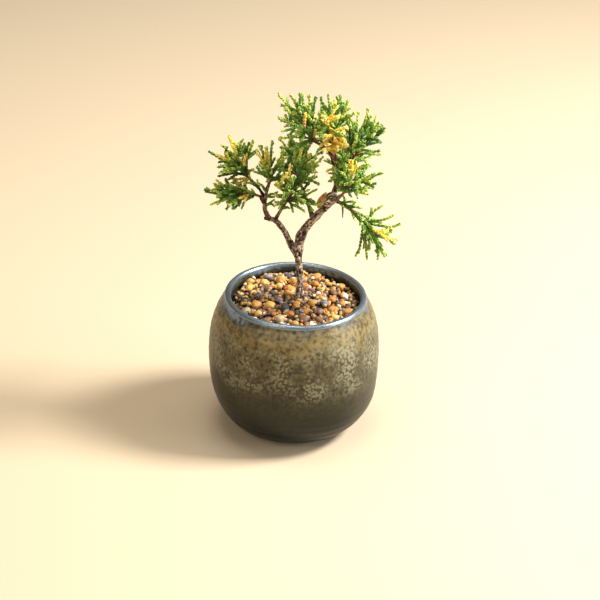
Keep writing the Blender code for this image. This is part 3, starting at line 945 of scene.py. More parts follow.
    def stones(self, kinds: Sequence[tuple[Mottled, float]], keep_clear: tuple) -> Piece:
        """The loose stones.

        Args:
            kinds: Each kind of stone with its share of the whole.
            keep_clear: x, y and radius of the trunk's foot.

        Returns:
            The piece.
        """
        rng = np.random.default_rng(self.seed)
        shapes = self.shapes(rng)
        surface = self.spots(rng, keep_clear)
        main = self.main_stones()
        heights = [self.surface(x, y, main) - 0.34 * d for x, y, d in surface]
        heights += rng.uniform(-0.2, 0.3, len(surface))
        turns = rng.uniform(0, math.tau, self.under_stones)
        out = np.sqrt(rng.uniform(0, 1, self.under_stones))
        across = rng.uniform(*self.under_sizes, self.under_stones)
        out *= self.edge_radius - across / 2
        under = np.column_stack([out * np.cos(turns), out * np.sin(turns), across])
        rows = np.vstack([surface, under])
        low = [self.surface(x, y, main) - rng.uniform(*self.under_depths) for x, y, _ in under]
        places = np.column_stack([rows[:, :2], [*heights, *low]])
        frames = [self.posture(size, rng) for size in rows[:, 2]]
        weights = np.array([share for _, share in kinds])
        dealt = rng.choice(len(kinds), len(rows), p=weights / weights.sum())
        heap = Heap()
        which = rng.integers(len(shapes), size=len(rows))
        for i, shape in enumerate(shapes):
            mine = which == i
            heap.add(shape, places[mine], np.array(frames)[mine], dealt[mine])
        return heap.build("grit_stones", [stone.material() for stone, _ in kinds])

    @staticmethod
    def posture(size: float, rng: Random) -> Array:
        """Axes of one stone: turned at will, lying roughly on its flat side.

        Args:
            size: The stone's width.
            rng: Source of random numbers.

        Returns:
            The axes, as columns.
        """
        turn = Matrix.Rotation(rng.uniform(0, math.tau), 3, "Z")
        tilt = Matrix.Rotation(rng.normal(0, 0.5), 3, Vector(rng.normal(size=3)))
        length, width, height = rng.uniform(0.9, 1.25), rng.uniform(0.75, 1.05), rng.uniform(0.55, 0.85)
        scale = np.array((length, width, height))
        return np.array(tilt @ turn) * (scale * size / 2)


# Limbs --------
@dataclass(frozen=True)
class Limb:
    """A woody limb: its parent, where on it the limb springs, its way and its diameters."""

    parent: str
    share: float
    points: tuple
    diameters: tuple


TRUNK_FOOT = 52.7  # height of the flat cut
TRUNK_LINE = (
    (1.5, 0.0, TRUNK_FOOT),
    (1.5, 0.0, 54.6),
    (1.4, 0.0, 57.6),
    (1.2, 0.0, 62.0),
    (0.6, 0.0, 67.0),
    (0.4, 0.0, 71.0),
    (0.8, 0.0, 75.4),
    (1.4, 0.1, 78.0),
    (2.8, 0.3, 80.8),
    (5.0, 0.6, 83.6),
    (7.6, 0.9, 86.8),
    (10.2, 1.0, 89.8),
    (12.2, 1.0, 92.6),
)
TRUNK_DIAMETERS = (3.9, 3.6, 3.3, 3.1, 3.2, 3.4, 3.7, 3.5, 3.1, 2.9, 2.8, 2.7, 2.4)

LIMBS = {
    "bough_left": Limb(
        "trunk",
        0.38,
        ((-3.3, 0.8, 75.1), (-4.6, 1.1, 77.8), (-6.4, 1.5, 80.4), (-8.6, 1.9, 82.5), (-10.9, 2.0, 82.8)),
        (2.2, 1.8),
    ),
    "limb_left": Limb(
        "bough_left",
        0.98,
        ((-12.2, 2.0, 86.0), (-12.4, 1.9, 89.6), (-11.9, 1.6, 94.2), (-11.1, 1.0, 97.2)),
        (1.8, 1.1),
    ),
    "limb_left_low": Limb("limb_left", 0.47, ((-14.2, 0.8, 92.2), (-15.8, 0.2, 93.0)), (1.2, 1.0)),
    "limb_left_high": Limb("limb_left", 0.58, ((-15.2, 2.8, 95.0), (-18.0, 3.0, 97.8)), (1.1, 0.9)),
    "limb_centre": Limb("bough_left", 0.80, ((-6.6, 1.0, 87.0), (-5.2, -0.4, 90.0)), (1.4, 1.0)),
    "leader": Limb(
        "trunk",
        1.0,
        ((13.0, 1.2, 97.4), (13.3, 1.8, 102.4), (12.4, 1.7, 107.2), (11.6, 1.3, 110.6)),
        (2.2, 1.2),
    ),
    "limb_top_left": Limb("leader", 0.88, ((8.8, 0.6, 112.0), (6.0, -0.6, 114.2)), (1.2, 1.0)),
    "limb_top_right": Limb("leader", 0.40, ((16.0, 1.0, 105.2), (18.0, 0.2, 108.4)), (1.2, 1.0)),
    "limb_right": Limb("trunk", 0.99, ((16.2, -2.2, 91.6), (19.0, -4.6, 90.6)), (1.6, 1.1)),
    "limb_right_high": Limb("trunk", 0.95, ((13.4, -3.2, 94.2), (15.0, -5.4, 97.0)), (1.3, 1.0)),
    "limb_back_left": Limb("trunk", 0.76, ((2.4, 4.8, 90.4), (-0.6, 8.0, 96.4)), (1.5, 1.0)),
    "limb_back_right": Limb("trunk", 0.92, ((12.4, 4.6, 94.4), (14.8, 8.4, 98.0)), (1.5, 1.0)),
    "limb_back_top": Limb("leader", 0.24, ((11.8, 5.0, 104.0), (9.8, 8.0, 109.0)), (1.3, 1.0)),
}


class Skeleton:
    """The centre lines of the trunk and of every limb, by the source's rule."""

    def __init__(self) -> None:
        """Traces the lines: name to its path and radii, and name to the point it springs from."""
        path = catmull_rom(TRUNK_LINE, 2)
        radii = catmull_rom([(d / 2,) for d in TRUNK_DIAMETERS], 2)[:, 0]
        self.lines = {"trunk": (path, radii)}
        self.roots = {}
        for name, limb in LIMBS.items():
            parent_path, parent_radii = self.lines[limb.parent]
            dense = catmull_rom(parent_path, 6)
            dense_radii = catmull_rom(parent_radii[:, None], 6)[:, 0]
            base, tip = (d / 2 for d in limb.diameters)
            root, start = self.clear_start(dense, dense_radii, limb.share, limb.points[0], base)
            path = catmull_rom([tuple(start), *limb.points], 2)
            self.lines[name] = (path, np.linspace(base, tip, len(path)))
            self.roots[name] = root

    @staticmethod
    def clear_start(
        parent_path: Array, parent_radii: Array, share: float, towards: Point, radius: float
    ) -> tuple[Array, Array]:
        """Where a limb starts.

        Args:
            parent_path: The parent's centre line.
            parent_radii: Its radii.
            share: How far along it the limb springs.
            towards: The limb's first point.
            radius: The limb's radius there.

        Returns:
            The point on the parent's line, and the point at which the limb's cap clears it.
        """
        at = share * (len(parent_path) - 1)
        low = int(min(at, len(parent_path) - 2))
        root = parent_path[low] + (parent_path[low + 1] - parent_path[low]) * (at - low)
        heading = unit(np.array(towards, float) - root)
        cap = np.array([radius * perpendicular(heading, turn) for turn in np.linspace(0, math.tau, 13)])
        reach = 0.0
        while True:
            rim = root + heading * reach + cap
            apart = np.linalg.norm(rim[:, None] - parent_path[None], axis=2) - parent_radii[None]
            if apart.min() > GAP:
                return root, root + heading * reach
            reach += 0.05


@dataclass(frozen=True)
class Woodwork:
    """The trunk and limbs in their bark, joined where they spring, with flakes and pruning stubs."""

    skeleton: Skeleton
    old: tuple = ("trunk", "bough_left")
    red: tuple = ("leader", "limb_left_low", "limb_left_high", "limb_right", "limb_top_left",
                  "limb_top_right")
    flaked: tuple = ("trunk", "bough_left", "limb_left", "leader")
    flakes_to_mm: tuple[float, float] = (3.2, 1.6)  # on the trunk and on the others
    brown_share: float = 0.45  # of the flakes
    flake_lean: tuple[float, float] = (-0.05, 0.30)
    flake_width: tuple[float, float] = (0.35, 0.75)  # as a share of the limb's radius
    flake_length: tuple[float, float] = (0.7, 1.9)
    flake_lift: tuple[float, float] = (0.98, 1.08)  # from the limb's middle, in radii
    step: float = 0.24  # between rings
    side_width: float = 0.26
    crack_depth: float = 0.20  # as a share of the radius
    knob_depth: float = 0.26
    plate_width: float = 0.85
    plate_length: float = 1.7
    crack_width: float = 0.34  # as a share of the pattern's height
    collar: float = 1.35  # how much thicker a limb is where it springs
    sunk: float = 1.6  # how deep the trunk goes into the stones
    # How far up the trunk, and its girth there as a share of the solid's:
    waist: tuple = ((0.0, 0.86), (0.10, 0.76), (0.34, 0.78), (0.46, 0.98), (1.0, 0.98))

    def line(self, name: str) -> tuple[Array, Array]:
        """A limb's path and radii, from inside its parent to its tip.

        Args:
            name: The limb's name.

        Returns:
            Its path and radii.
        """
        path, radii = self.skeleton.lines[name]
        if name == "trunk":
            foot = path[0] - (0.0, 0.0, self.sunk)
            girth = np.interp(walked(path) / walked(path)[-1], *zip(*self.waist))
            return evenly(np.vstack([foot, path]), np.array([radii[0], *radii * girth]), self.step)
        path = np.vstack([self.skeleton.roots[name], path])
        radii = np.array([radii[0] * self.collar, radii[0] * (1 + self.collar) / 2, *radii[1:]])
        return evenly(path, radii, self.step)

    def relief(self, turn: float, walk: float, radius: float, seed: float) -> tuple[float, float]:
        """Height of the bark, from 0 in a crack to 1 on a plate, and the swelling under it.

        Args:
            turn: Angle round the limb.
            walk: Way along it.
            radius: Its radius there.
            seed: Shifts the pattern from limb to limb.

        Returns:
            The height and the swelling, -1 to 1.
        """
        around = radius / self.plate_width
        place = Vector((math.cos(turn) * around + seed, math.sin(turn) * around, walk / self.plate_length))
        ragged = place + 0.35 * noise.noise_vector(place * 2.3)
        plate = min(1.0, abs(noise.noise(ragged)) / self.crack_width)
        fine = noise.noise(place * 5.0)
        swelling = noise.noise(Vector((math.cos(turn) + seed, math.sin(turn), walk / 3.1)))
        return 0.8 * plate + 0.2 * (0.5 + fine), swelling

    def limb(self, name: str, bark: Material) -> Piece:
        """One limb in its bark."""
        return self.barked(name + "_bark", *self.line(name), bark)

    def burl(self, ends: Sequence[Point], diameters: Sequence[float], bark: Material) -> Piece:
        """The old, healed-over cut at the top of the trunk."""
        path, radii = evenly(np.array(ends), np.array(diameters) / 2, self.step)
        return self.barked("trunk_burl", path, radii, bark)

    def barked(self, name: str, path: Array, radii: Array, bark: Material) -> Piece:
        """A tube with the bark's relief.

        Args:
            name: The piece's name.
            path: Its centre line.
            radii: Radius at each point of it.
            bark: Its material, which reads the relief.

        Returns:
            The piece.
        """
        sides = max(14, round(math.tau * radii.max() / self.side_width))
        bm, rings = tube(path, radii, sides)
        layer = bm.verts.layers.float.new("relief")
        bm.verts.ensure_lookup_table()
        seed = float(seed_of(name) % 97)
        walk = walked(path)
        for i, (ring, posture) in enumerate(zip(rings, frames_along(path, radii))):
            upright = posture.inverted()
            for number in ring:
                vertex = bm.verts[number]
                out, local = vertex.co - Vector(path[i]), upright @ vertex.co
                height, swelling = self.relief(math.atan2(local.y, local.x), walk[i], radii[i], seed)
                swell = self.crack_depth * (height - 0.75) + self.knob_depth * swelling
                vertex.co += out * swell
                vertex[layer] = height
        return piece_from(bm, name, bark)

    def flake(self) -> Stock:
        """A thin plate of bark, one unit wide, long and thick, curved across its width.

        Returns:
            The plate.
        """
        taper, curl, lift, thickness = 1.3, 1.1, 0.35, 0.22
        bm = bmesh.new()
        bmesh.ops.create_grid(bm, x_segments=2, y_segments=3, size=0.5)
        for vertex in bm.verts:
            x, y, _ = vertex.co
            vertex.co.x *= 1.0 - taper * y * y
            vertex.co.z = -curl * x * x + lift * max(y, 0.0)
        bmesh.ops.solidify(bm, geom=bm.faces, thickness=thickness)
        return Stock(bm)

    def flakes(self, bark: Sequence[Material]) -> Piece:
        """Loose flakes on the old wood.

        Args:
            bark: Two materials, pale and brown.

        Returns:
            The piece.
        """
        rng = np.random.default_rng(11)
        heap, shape = Heap(), self.flake()
        for name in self.flaked:
            path, radii = self.line(name)
            density = self.flakes_to_mm[0 if name == "trunk" else 1]
            for _ in range(round(walked(path)[-1] * density)):
                i = int(rng.integers(4, len(path) - 3))
                heading = unit(path[i + 1] - path[i - 1])
                out = perpendicular(heading, rng.uniform(0, math.tau))
                lean = rng.uniform(*self.flake_lean)
                along = unit(heading * rng.choice((-1.0, 1.0)) + lean * out)
                across = np.cross(along, out)
                width = radii[i] * rng.uniform(*self.flake_width)
                length = rng.uniform(*self.flake_length)
                axes = np.column_stack([across * width, along * length, out * 0.55 * width])
                place = path[i] + out * radii[i] * rng.uniform(*self.flake_lift)
                heap.add(shape, place[None], axes[None], np.array([int(rng.uniform() < self.brown_share)]))
        return heap.build("bark_flakes", bark)

    def stubs(self, cuts: Sequence[tuple], bark: Material) -> Piece:
        """Pruned and broken stubs with their ends cut flat.

        Args:
            cuts: Foot, tip, and diameters at both, of each stub.
            bark: Their material.

        Returns:
            The piece.
        """
        heap, rings, sides = Heap(), 5, 10
        crooked = np.array([(0.1, 0.1, 0.0), (0.15, 0.05, 0.1), (0.05, 0.1, 0.1)])
        for foot, tip, (thick, thin) in cuts:
            path = np.linspace(foot, tip, rings)
            path[1:-1] += crooked
            bm, _ = tube(path, np.linspace(thick / 2, thin / 2, rings), sides)
            heap.add_one(Stock(bm), 0)
        return heap.build("pruning_stubs", [bark])


@dataclass(frozen=True)
class DriedLeaf:
    """A dead, curled blade caught above the trunk."""

    foot: Point
    tip: Point
    width: float
    dip: float = 0.30  # how deep its middle lies under its edges, as a share of the width
    curl: float = 0.10  # how far it bows, as a share of its length
    crumpled: float = 0.12
    thickness: float = 0.14

    def build(self, finish: Mottled) -> Piece:
        """Shapes the blade from a grid.

        Args:
            finish: Its finish.

        Returns:
            The piece.
        """
        foot, along = np.array(self.foot), np.array(self.tip) - np.array(self.foot)
        side = perpendicular(unit(along), 0.4) * self.width
        up = np.cross(unit(along), side)
        bm = bmesh.new()
        bmesh.ops.create_grid(bm, x_segments=6, y_segments=14, size=0.5)
        for vertex in bm.verts:
            x, y, _ = vertex.co
            share = y + 0.5
            half = math.sin(math.pi * min(0.97, 0.06 + 0.92 * share)) ** 0.8
            lift = self.dip * 4 * x * x * half + self.crumpled * noise.noise(Vector((x, y, 0)) * 3)
            bow = self.curl * math.sin(math.pi * share) * np.linalg.norm(along) / self.width
            vertex.co = foot + along * share + side * (x * half) + up * (lift + bow)
        bmesh.ops.solidify(bm, geom=bm.faces, thickness=self.thickness)
        return piece_from(bm, "dried_leaf", finish.material())


# Foliage masses --------
@dataclass(frozen=True)
class Mass:
    """A foliage mass: the limb that carries it, the ellipsoid it fills and its shoots."""

    limb: str
    centre: tuple
    radii: tuple
    shoots: int
    strays: tuple = ()  # tips of single sprigs that reach past the ellipsoid
    bare: float = 0.2  # share of a shoot that is brown before the green begins


LONG_SPRIG_TIP = (-8.7, -2.0, 133.2)
SIDE_SPRIG_TIP = (28.6, -6.0, 106.6)
LOW_TIPS = ((-34.0, -0.5, 93.8),)
HIGH_TIPS = ((-32.0, 1.0, 108.4), (-25.4, -1.5, 115.2))
CENTRE_TIPS = ((5.6, -8.0, 110.4), (-9.2, -6.0, 91.6))
HANGING_TIPS = (
    (27.8, -4.0, 91.7),
    (33.0, -10.0, 91.2),
    (35.2, -4.5, 84.8),
    (34.6, -11.5, 82.4),
    (31.7, -6.0, 73.3),
    (25.4, -3.5, 71.2),
    (22.0, -9.0, 75.7),
)
MASSES = {
    "foliage_left_low": Mass("limb_left_low", (-25.0, -1.4, 93.8), (9.4, 7.6, 5.8), 9, LOW_TIPS),
    "foliage_left_high": Mass("limb_left_high", (-22.4, 2.0, 105.6), (9.2, 8.4, 9.4), 10, HIGH_TIPS, 0.0),
    "foliage_left_inner": Mass("limb_left", (-11.2, 0.0, 103.6), (7.8, 8.8, 10.4), 12),
    "foliage_centre": Mass("limb_centre", (-0.2, -4.8, 100.6), (10.6, 9.2, 12.2), 14, CENTRE_TIPS),
    "foliage_top_left": Mass("limb_top_left", (0.0, -2.0, 122.4), (9.6, 10.0, 11.6), 12, (LONG_SPRIG_TIP,)),
    "foliage_top": Mass("leader", (10.4, -2.6, 122.4), (9.2, 9.8, 11.4), 12),
    "foliage_top_right": Mass("limb_top_right", (19.8, -0.5, 117.4), (10.0, 10.0, 11.0), 13),
    "foliage_right": Mass("limb_right_high", (18.6, -8.0, 104.8), (8.8, 8.0, 8.0), 11, (SIDE_SPRIG_TIP,)),
    "foliage_hanging": Mass("limb_right", (28.6, -7.2, 82.6), (8.2, 6.6, 9.6), 4, HANGING_TIPS, 0.0),
    "foliage_back_left": Mass("limb_back_left", (-1.4, 12.0, 103.4), (9.8, 8.8, 9.6), 11),
    "foliage_back_right": Mass("limb_back_right", (17.8, 13.0, 103.4), (9.8, 8.8, 9.6), 11),
    "foliage_back_top": Mass("limb_back_top", (8.6, 12.6, 116.0), (9.8, 8.6, 9.4), 11),
}

SLIM_STRAYS = {  # strays that bear side tips only, and the share of their length at which these begin
    LONG_SPRIG_TIP: 0.66,
    SIDE_SPRIG_TIP: 0.66,
    **{tip: 0.40 for tip in HANGING_TIPS},
}


def slim_from(tip: Array) -> float | None:
    """Where the side tips of a slim stray begin, or None for any other shoot."""
    near = [first for slim_tip, first in SLIM_STRAYS.items() if np.linalg.norm(tip - slim_tip) < 0.5]
    return near[0] if near else None


CORD_BELLY = 0.38  # share of a cord's length at which the solid cord is thickest
SKIN = 0.15  # free space kept round a shoot or cord


class Space:
    """Tells how much free room there is inside one mass's own cell, round the limbs and cords."""

    def __init__(self, lines: dict, eye: Vector, gaps: Sequence[tuple[float, float, float]]) -> None:
        """Starts with the limbs as the only solids.

        Args:
            lines: The limbs' paths and radii.
            eye: Where the viewer stands.
            gaps: Place and radius of each gap that shows sky through the whole crown.
        """
        self.gap_places = np.array([(x, SKY_DEPTH, z) for x, z, _ in gaps])
        self.gap_radii = np.array([radius for *_, radius in gaps])
        sights = self.gap_places - np.array(eye)
        self.sights = sights / np.linalg.norm(sights, axis=1)[:, None]
        self.solid_points = np.vstack([catmull_rom(path, 4) for path, _ in lines.values()])
        self.solid_radii = np.concatenate([catmull_rom(r[:, None], 4)[:, 0] for _, r in lines.values()])
        self.centres = {name: np.array(mass.centre) for name, mass in MASSES.items()}
        self.radii = {name: np.array(mass.radii) for name, mass in MASSES.items()}

    @staticmethod
    def cord_radius_at(share: float) -> float:
        """Radius of the solid cord at a share of its length."""
        return min(share / CORD_BELLY, (1 - share) / (1 - CORD_BELLY))

    def depth(self, name: str, points: Array) -> Array:
        """0 at the middle of a mass's ellipsoid and 1 on its surface."""
        return np.linalg.norm((points - self.centres[name]) / self.radii[name], axis=-1)

    def to_cells(self, name: str, points: Array) -> Array:
        """Millimetres from points to the nearest cell of another mass.

        Args:
            name: The mass whose own cell doesn't count.
            points: The points.

        Returns:
            The distances.
        """
        own, least = self.depth(name, points), np.full(points.shape[:-1], np.inf)
        for other in MASSES:
            if other != name:
                pace = 1 / self.radii[name].min() + 1 / self.radii[other].min()
                least = np.minimum(least, (self.depth(other, points) - own) / pace)
        return least

    def room(self, name: str, point: Array, stray: bool = False) -> float:
        """Millimetres from a point to the nearest solid or other cell, or -1 outside its own.

        Args:
            name: The mass.
            point: The point.
            stray: Whether it may lie outside the mass's ellipsoid.

        Returns:
            The room.
        """
        if self.depth(name, point) > 1 and not stray:
            return -1.0
        solid = (np.linalg.norm(self.solid_points - point, axis=1) - self.solid_radii).min()
        return min(float(solid), float(self.to_cells(name, point)))

    def reach(self, name: str, root: Array, heading: Array) -> float:
        """How far a line from `root` runs before it leaves the cell.

        Args:
            name: The mass.
            root: The line's start.
            heading: Its unit vector.

        Returns:
            The length.
        """
        length = 1.0
        while self.room(name, root + heading * length) > SKIN:
            length += 0.25
        return length

    def fits(self, name: str, root: Array, end: Array, stray: bool) -> bool:
        """Whether a cord keeps clear of everything but the shoot that it springs from.

        Args:
            name: The mass.
            root: The cord's root.
            end: Its tip.
            stray: Whether its shoot is a stray.

        Returns:
            Whether it has room.
        """
        shares = (0.45, 0.65, 0.85, 1.0)
        rooms = [self.room(name, root + (end - root) * share, stray) for share in shares]
        return all(room > self.cord_radius_at(share) + SKIN for room, share in zip(rooms, shares))

    def take(self, root: Array, end: Array) -> None:
        """Marks the outer part of a cord as taken.

        Args:
            root: The cord's root.
            end: Its tip.
        """
        shares = np.array((0.5, 0.65, 0.8, 1.0))
        self.solid_points = np.vstack([self.solid_points, root + np.outer(shares, end - root)])
        radii = [self.cord_radius_at(share) for share in shares]
        self.solid_radii = np.concatenate([self.solid_radii, radii])

    def holds(self, name: str, path: Array) -> bool:
        """Whether a fine branchlet stays in its mass's own cell."""
        return bool((self.depth(name, path) <= 1.0).all() and (self.to_cells(name, path) > 0).all())

    def bars(self, path: Array, least: float = 0.0) -> Array:
        """Tells where a line lies in one of the gaps that show sky.

        Args:
            path: The line's points.
            least: Least radius of the gaps that count.

        Returns:
            One truth value for each point.
        """
        off = path[None] - self.gap_places[:, None]
        along = np.einsum("gpi,gi->gp", off, self.sights)
        away = np.linalg.norm(off - along[:, :, None] * self.sights[:, None], axis=2)
        wide = self.gap_radii >= least
        return ((away < self.gap_radii[:, None]) & wide[:, None]).any(axis=0)

    def short_of_gaps(self, path: Array) -> Array:
        """A branchlet's line up to the first gap that it would close.

        Args:
            path: The whole line.

        Returns:
            The line with as many points, or only its root where the gap begins at once.
        """
        dense = catmull_rom(path, 4)
        barred = self.bars(dense)
        if not barred.any():
            return path
        clear = dense[: int(np.argmax(barred))]
        if len(clear) < 3:
            return path[:1]
        return np.array([point_along(clear, share)[0] for share in np.linspace(0, 1, len(path))])

    def welcomes(self, name: str, path: Array, stray: bool) -> bool:
        """Whether a fine branchlet may grow here: in its cell, unless it strays, and in no gap."""
        return (stray or self.holds(name, path)) and not self.bars(catmull_rom(path, 3)).any()


@dataclass(frozen=True)
class Shoot:
    """One shoot of a mass, with the ends of the cords on it."""

    path: Array
    stray: bool
    cords: list


@dataclass(frozen=True)
class GrowthRule:
    """The source's seeded rule: a stem, shoots aimed round the mass, and cords on each."""

    heart: float = 0.45  # how far the stem runs from its foot towards the middle of the mass
    shoot_stations: tuple = (0.0, 0.4, 0.62, 0.78, 1.0)
    spread: float = math.radians(138)  # how far round the ellipsoid from its own axis shoots aim
    shortest: float = 4.5
    stray_sag: float = 0.6
    stem_used: float = 0.75  # share of the stem, from its tip, that bears shoots
    stray_cords: float = 0.62  # the length of the cords on a stray, as a share of the others
    cord_lengths: tuple = (8.6, 6.0)  # near the foot and near the tip of a shoot
    cord_leans: tuple = (math.radians(50), math.radians(34))
    cord_shares: tuple = (0.26, 0.64)  # the stretch of a shoot that bears cords
    cord_spacing: float = 2.4
    cord_tries: tuple = ((1, 0), (1, 0.9), (1, -0.9), (0.75, 0), (0.75, 1.8), (0.75, -1.8))
    cord_lift: float = 0.1
    cord_sink: float = 0.15

    def stem(self, mass: Mass, path: Array) -> Array:
        """The one stem of a mass, from just clear of its limb's tip to the mass's heart.

        Args:
            mass: The mass.
            path: The limb's line.

        Returns:
            The stem's line.
        """
        heading = unit(path[-1] - path[-2])
        foot = path[-1] + heading * GAP
        heart = foot + (np.array(mass.centre) - foot) * self.heart
        bend = foot + heading * 0.35 * np.linalg.norm(heart - foot)
        return catmull_rom([foot, bend, heart], 2)

    def aims(self, name: str, mass: Mass, stem: Array, space: Space, rng: Random) -> list:
        """The shoots of a mass, aimed evenly at its ellipsoid, and its strays.

        Args:
            name: The mass's node.
            mass: The mass.
            stem: Its stem.
            space: Free room.
            rng: Source of random numbers.

        Returns:
            Foot, bend, tip and whether it is a stray, for each shoot.
        """
        axis = unit(np.array(mass.centre) - stem[0])
        lines = []
        for tip in mass.strays:
            bend = (stem[-1] + np.array(tip)) / 2 - (0, 0, self.stray_sag)
            lines.append((stem[-1], bend, np.array(tip), True))
        for i in range(mass.shoots):
            lean = math.acos(1 - (1 - math.cos(self.spread)) * (i + 0.4) / mass.shoots)
            sideways = perpendicular(axis, i * GOLDEN_ANGLE + rng.uniform(-0.3, 0.3))
            aim = math.cos(lean) * axis + math.sin(lean) * sideways
            target = np.array(mass.centre) + mass.radii * aim
            foot, _ = point_along(stem, 1 - self.stem_used * lean / self.spread)
            heading = unit(target - foot)
            length = space.reach(name, foot, heading)
            if length > self.shortest:
                bend = foot + (0.75 * heading + 0.25 * axis) * 0.4 * length
                lines.append((foot, bend, foot + heading * length, False))
        return lines

    def cords(self, name: str, path: Array, stray: bool, space: Space, rng: Random) -> list:
        """The cords along one shoot, leaving out any that has no room.

        Args:
            name: The mass's node.
            path: The shoot's line.
            stray: Whether it is a stray.
            space: Free room, which the cords take up.
            rng: Source of random numbers.

        Returns:
            The root and the tip of each cord.
        """
        length = np.linalg.norm(path[-1] - path[0])
        count = 1 + round((self.cord_shares[1] - self.cord_shares[0]) * length / self.cord_spacing)
        turn = rng.uniform(0, math.tau)
        cords = []
        for share in np.linspace(*self.cord_shares, count):
            point, heading = point_along(path, share)
            lean, size = between(self.cord_leans, share), between(self.cord_lengths, share)
            size *= rng.uniform(0.9, 1.1) * (self.stray_cords if stray else 1)
            turn += GOLDEN_ANGLE
            for shorter, turned in self.cord_tries:
                sideways = perpendicular(heading, turn + turned)
                lift = np.array((0, 0, self.cord_lift))
                aim = unit(math.cos(lean) * heading + math.sin(lean) * sideways + lift)
                root, end = point - aim * self.cord_sink, point + aim * size * shorter
                if space.fits(name, root, end, stray):
                    cords.append((root, end))
                    space.take(root, end)
                    break
        return cords

    def grow(self, name: str, mass: Mass, path: Array, space: Space) -> tuple[Array, list[Shoot]]:
        """Grows one mass as the solid grew.

        Args:
            name: The mass's node.
            mass: What it fills.
            path: The limb that carries it.
            space: Free room, which the cords take up.

        Returns:
            The stem and the shoots with their cords.
        """
        rng = np.random.default_rng(seed_of(name))
        stem = self.stem(mass, path)
        shoots = []
        for foot, bend, tip, stray in self.aims(name, mass, stem, space, rng):
            fine = catmull_rom([foot, bend, tip], 4)
            stations = np.array([point_along(fine, share)[0] for share in self.shoot_stations])
            shoots.append(Shoot(stations, stray, []))
        for shoot in shoots:
            space.take(shoot.path[2], shoot.path[-1])
        for shoot in shoots:
            shoot.cords.extend(self.cords(name, shoot.path, shoot.stray, space, rng))
        return stem, shoots


# Fine foliage --------
@dataclass(frozen=True)
class Accent:
    """A place in the crown where the sprays take one variegation."""

    centre: Point
    reach: float
    tones: Variegation


@dataclass(frozen=True)
class Colouring:
    """Deals one variegation to each spray."""

    accents: tuple[Accent, ...] = (
        Accent((12.4, -7.5, 117.4), 4.6, Variegation.GOLDEN),
        Accent((12.8, -8.0, 127.2), 3.8, Variegation.GOLDEN),
        Accent((-24.3, -1.0, 113.0), 3.8, Variegation.GILT),
        Accent((-0.3, -7.0, 128.1), 3.4, Variegation.RUSTY),
        Accent((4.3, -10.0, 102.4), 3.0, Variegation.GOLDEN),
        Accent((19.4, -9.0, 108.6), 2.8, Variegation.GILT),
        Accent((34.0, -11.0, 82.6), 3.6, Variegation.GOLDEN),
        Accent((28.6, -7.0, 86.4), 5.0, Variegation.YOUNG),
        Accent((28.0, -7.0, 78.0), 7.5, Variegation.PLAIN),
        Accent((-6.7, -2.0, 131.5), 3.2, Variegation.YOUNG),
        Accent((-21.0, -3.0, 107.6), 3.0, Variegation.RUSTY),
        Accent((-3.9, -8.0, 113.5), 3.8, Variegation.RUSTY),
        Accent((-11.0, 20.0, 105.0), 4.0, Variegation.GOLDEN),
        Accent((14.0, 20.0, 117.0), 4.4, Variegation.GILT),
        Accent((27.0, 12.0, 106.0), 4.0, Variegation.GOLDEN),
    )
    odds: tuple = (
        (Variegation.SHADED, 0.14),
        (Variegation.PLAIN, 0.37),
        (Variegation.YOUNG, 0.40),
        (Variegation.GILT, 0.05),
        (Variegation.GOLDEN, 0.02),
        (Variegation.RUSTY, 0.02),
    )

    def deal(self, place: Array, rng: Random) -> Variegation:
        """The tones of a spray at a place.

        Args:
            place: The spray's place.
            rng: Source of random numbers.

        Returns:
            The tones.
        """
        dealt = rng.choice(len(self.odds), p=[share for _, share in self.odds])
        for accent in self.accents:
            if np.linalg.norm(place - accent.centre) < accent.reach:
                return accent.tones
        return self.odds[dealt][0]


@dataclass(frozen=True)
class Branchlet:
    """A leafy cord: its line, its radius, where in its spray's depth it runs, and its tones."""

    path: Array
    radius: float
    depths: tuple[float, float]
    tones: Variegation
    bare: float = 0.0  # share of its length below the first leaves


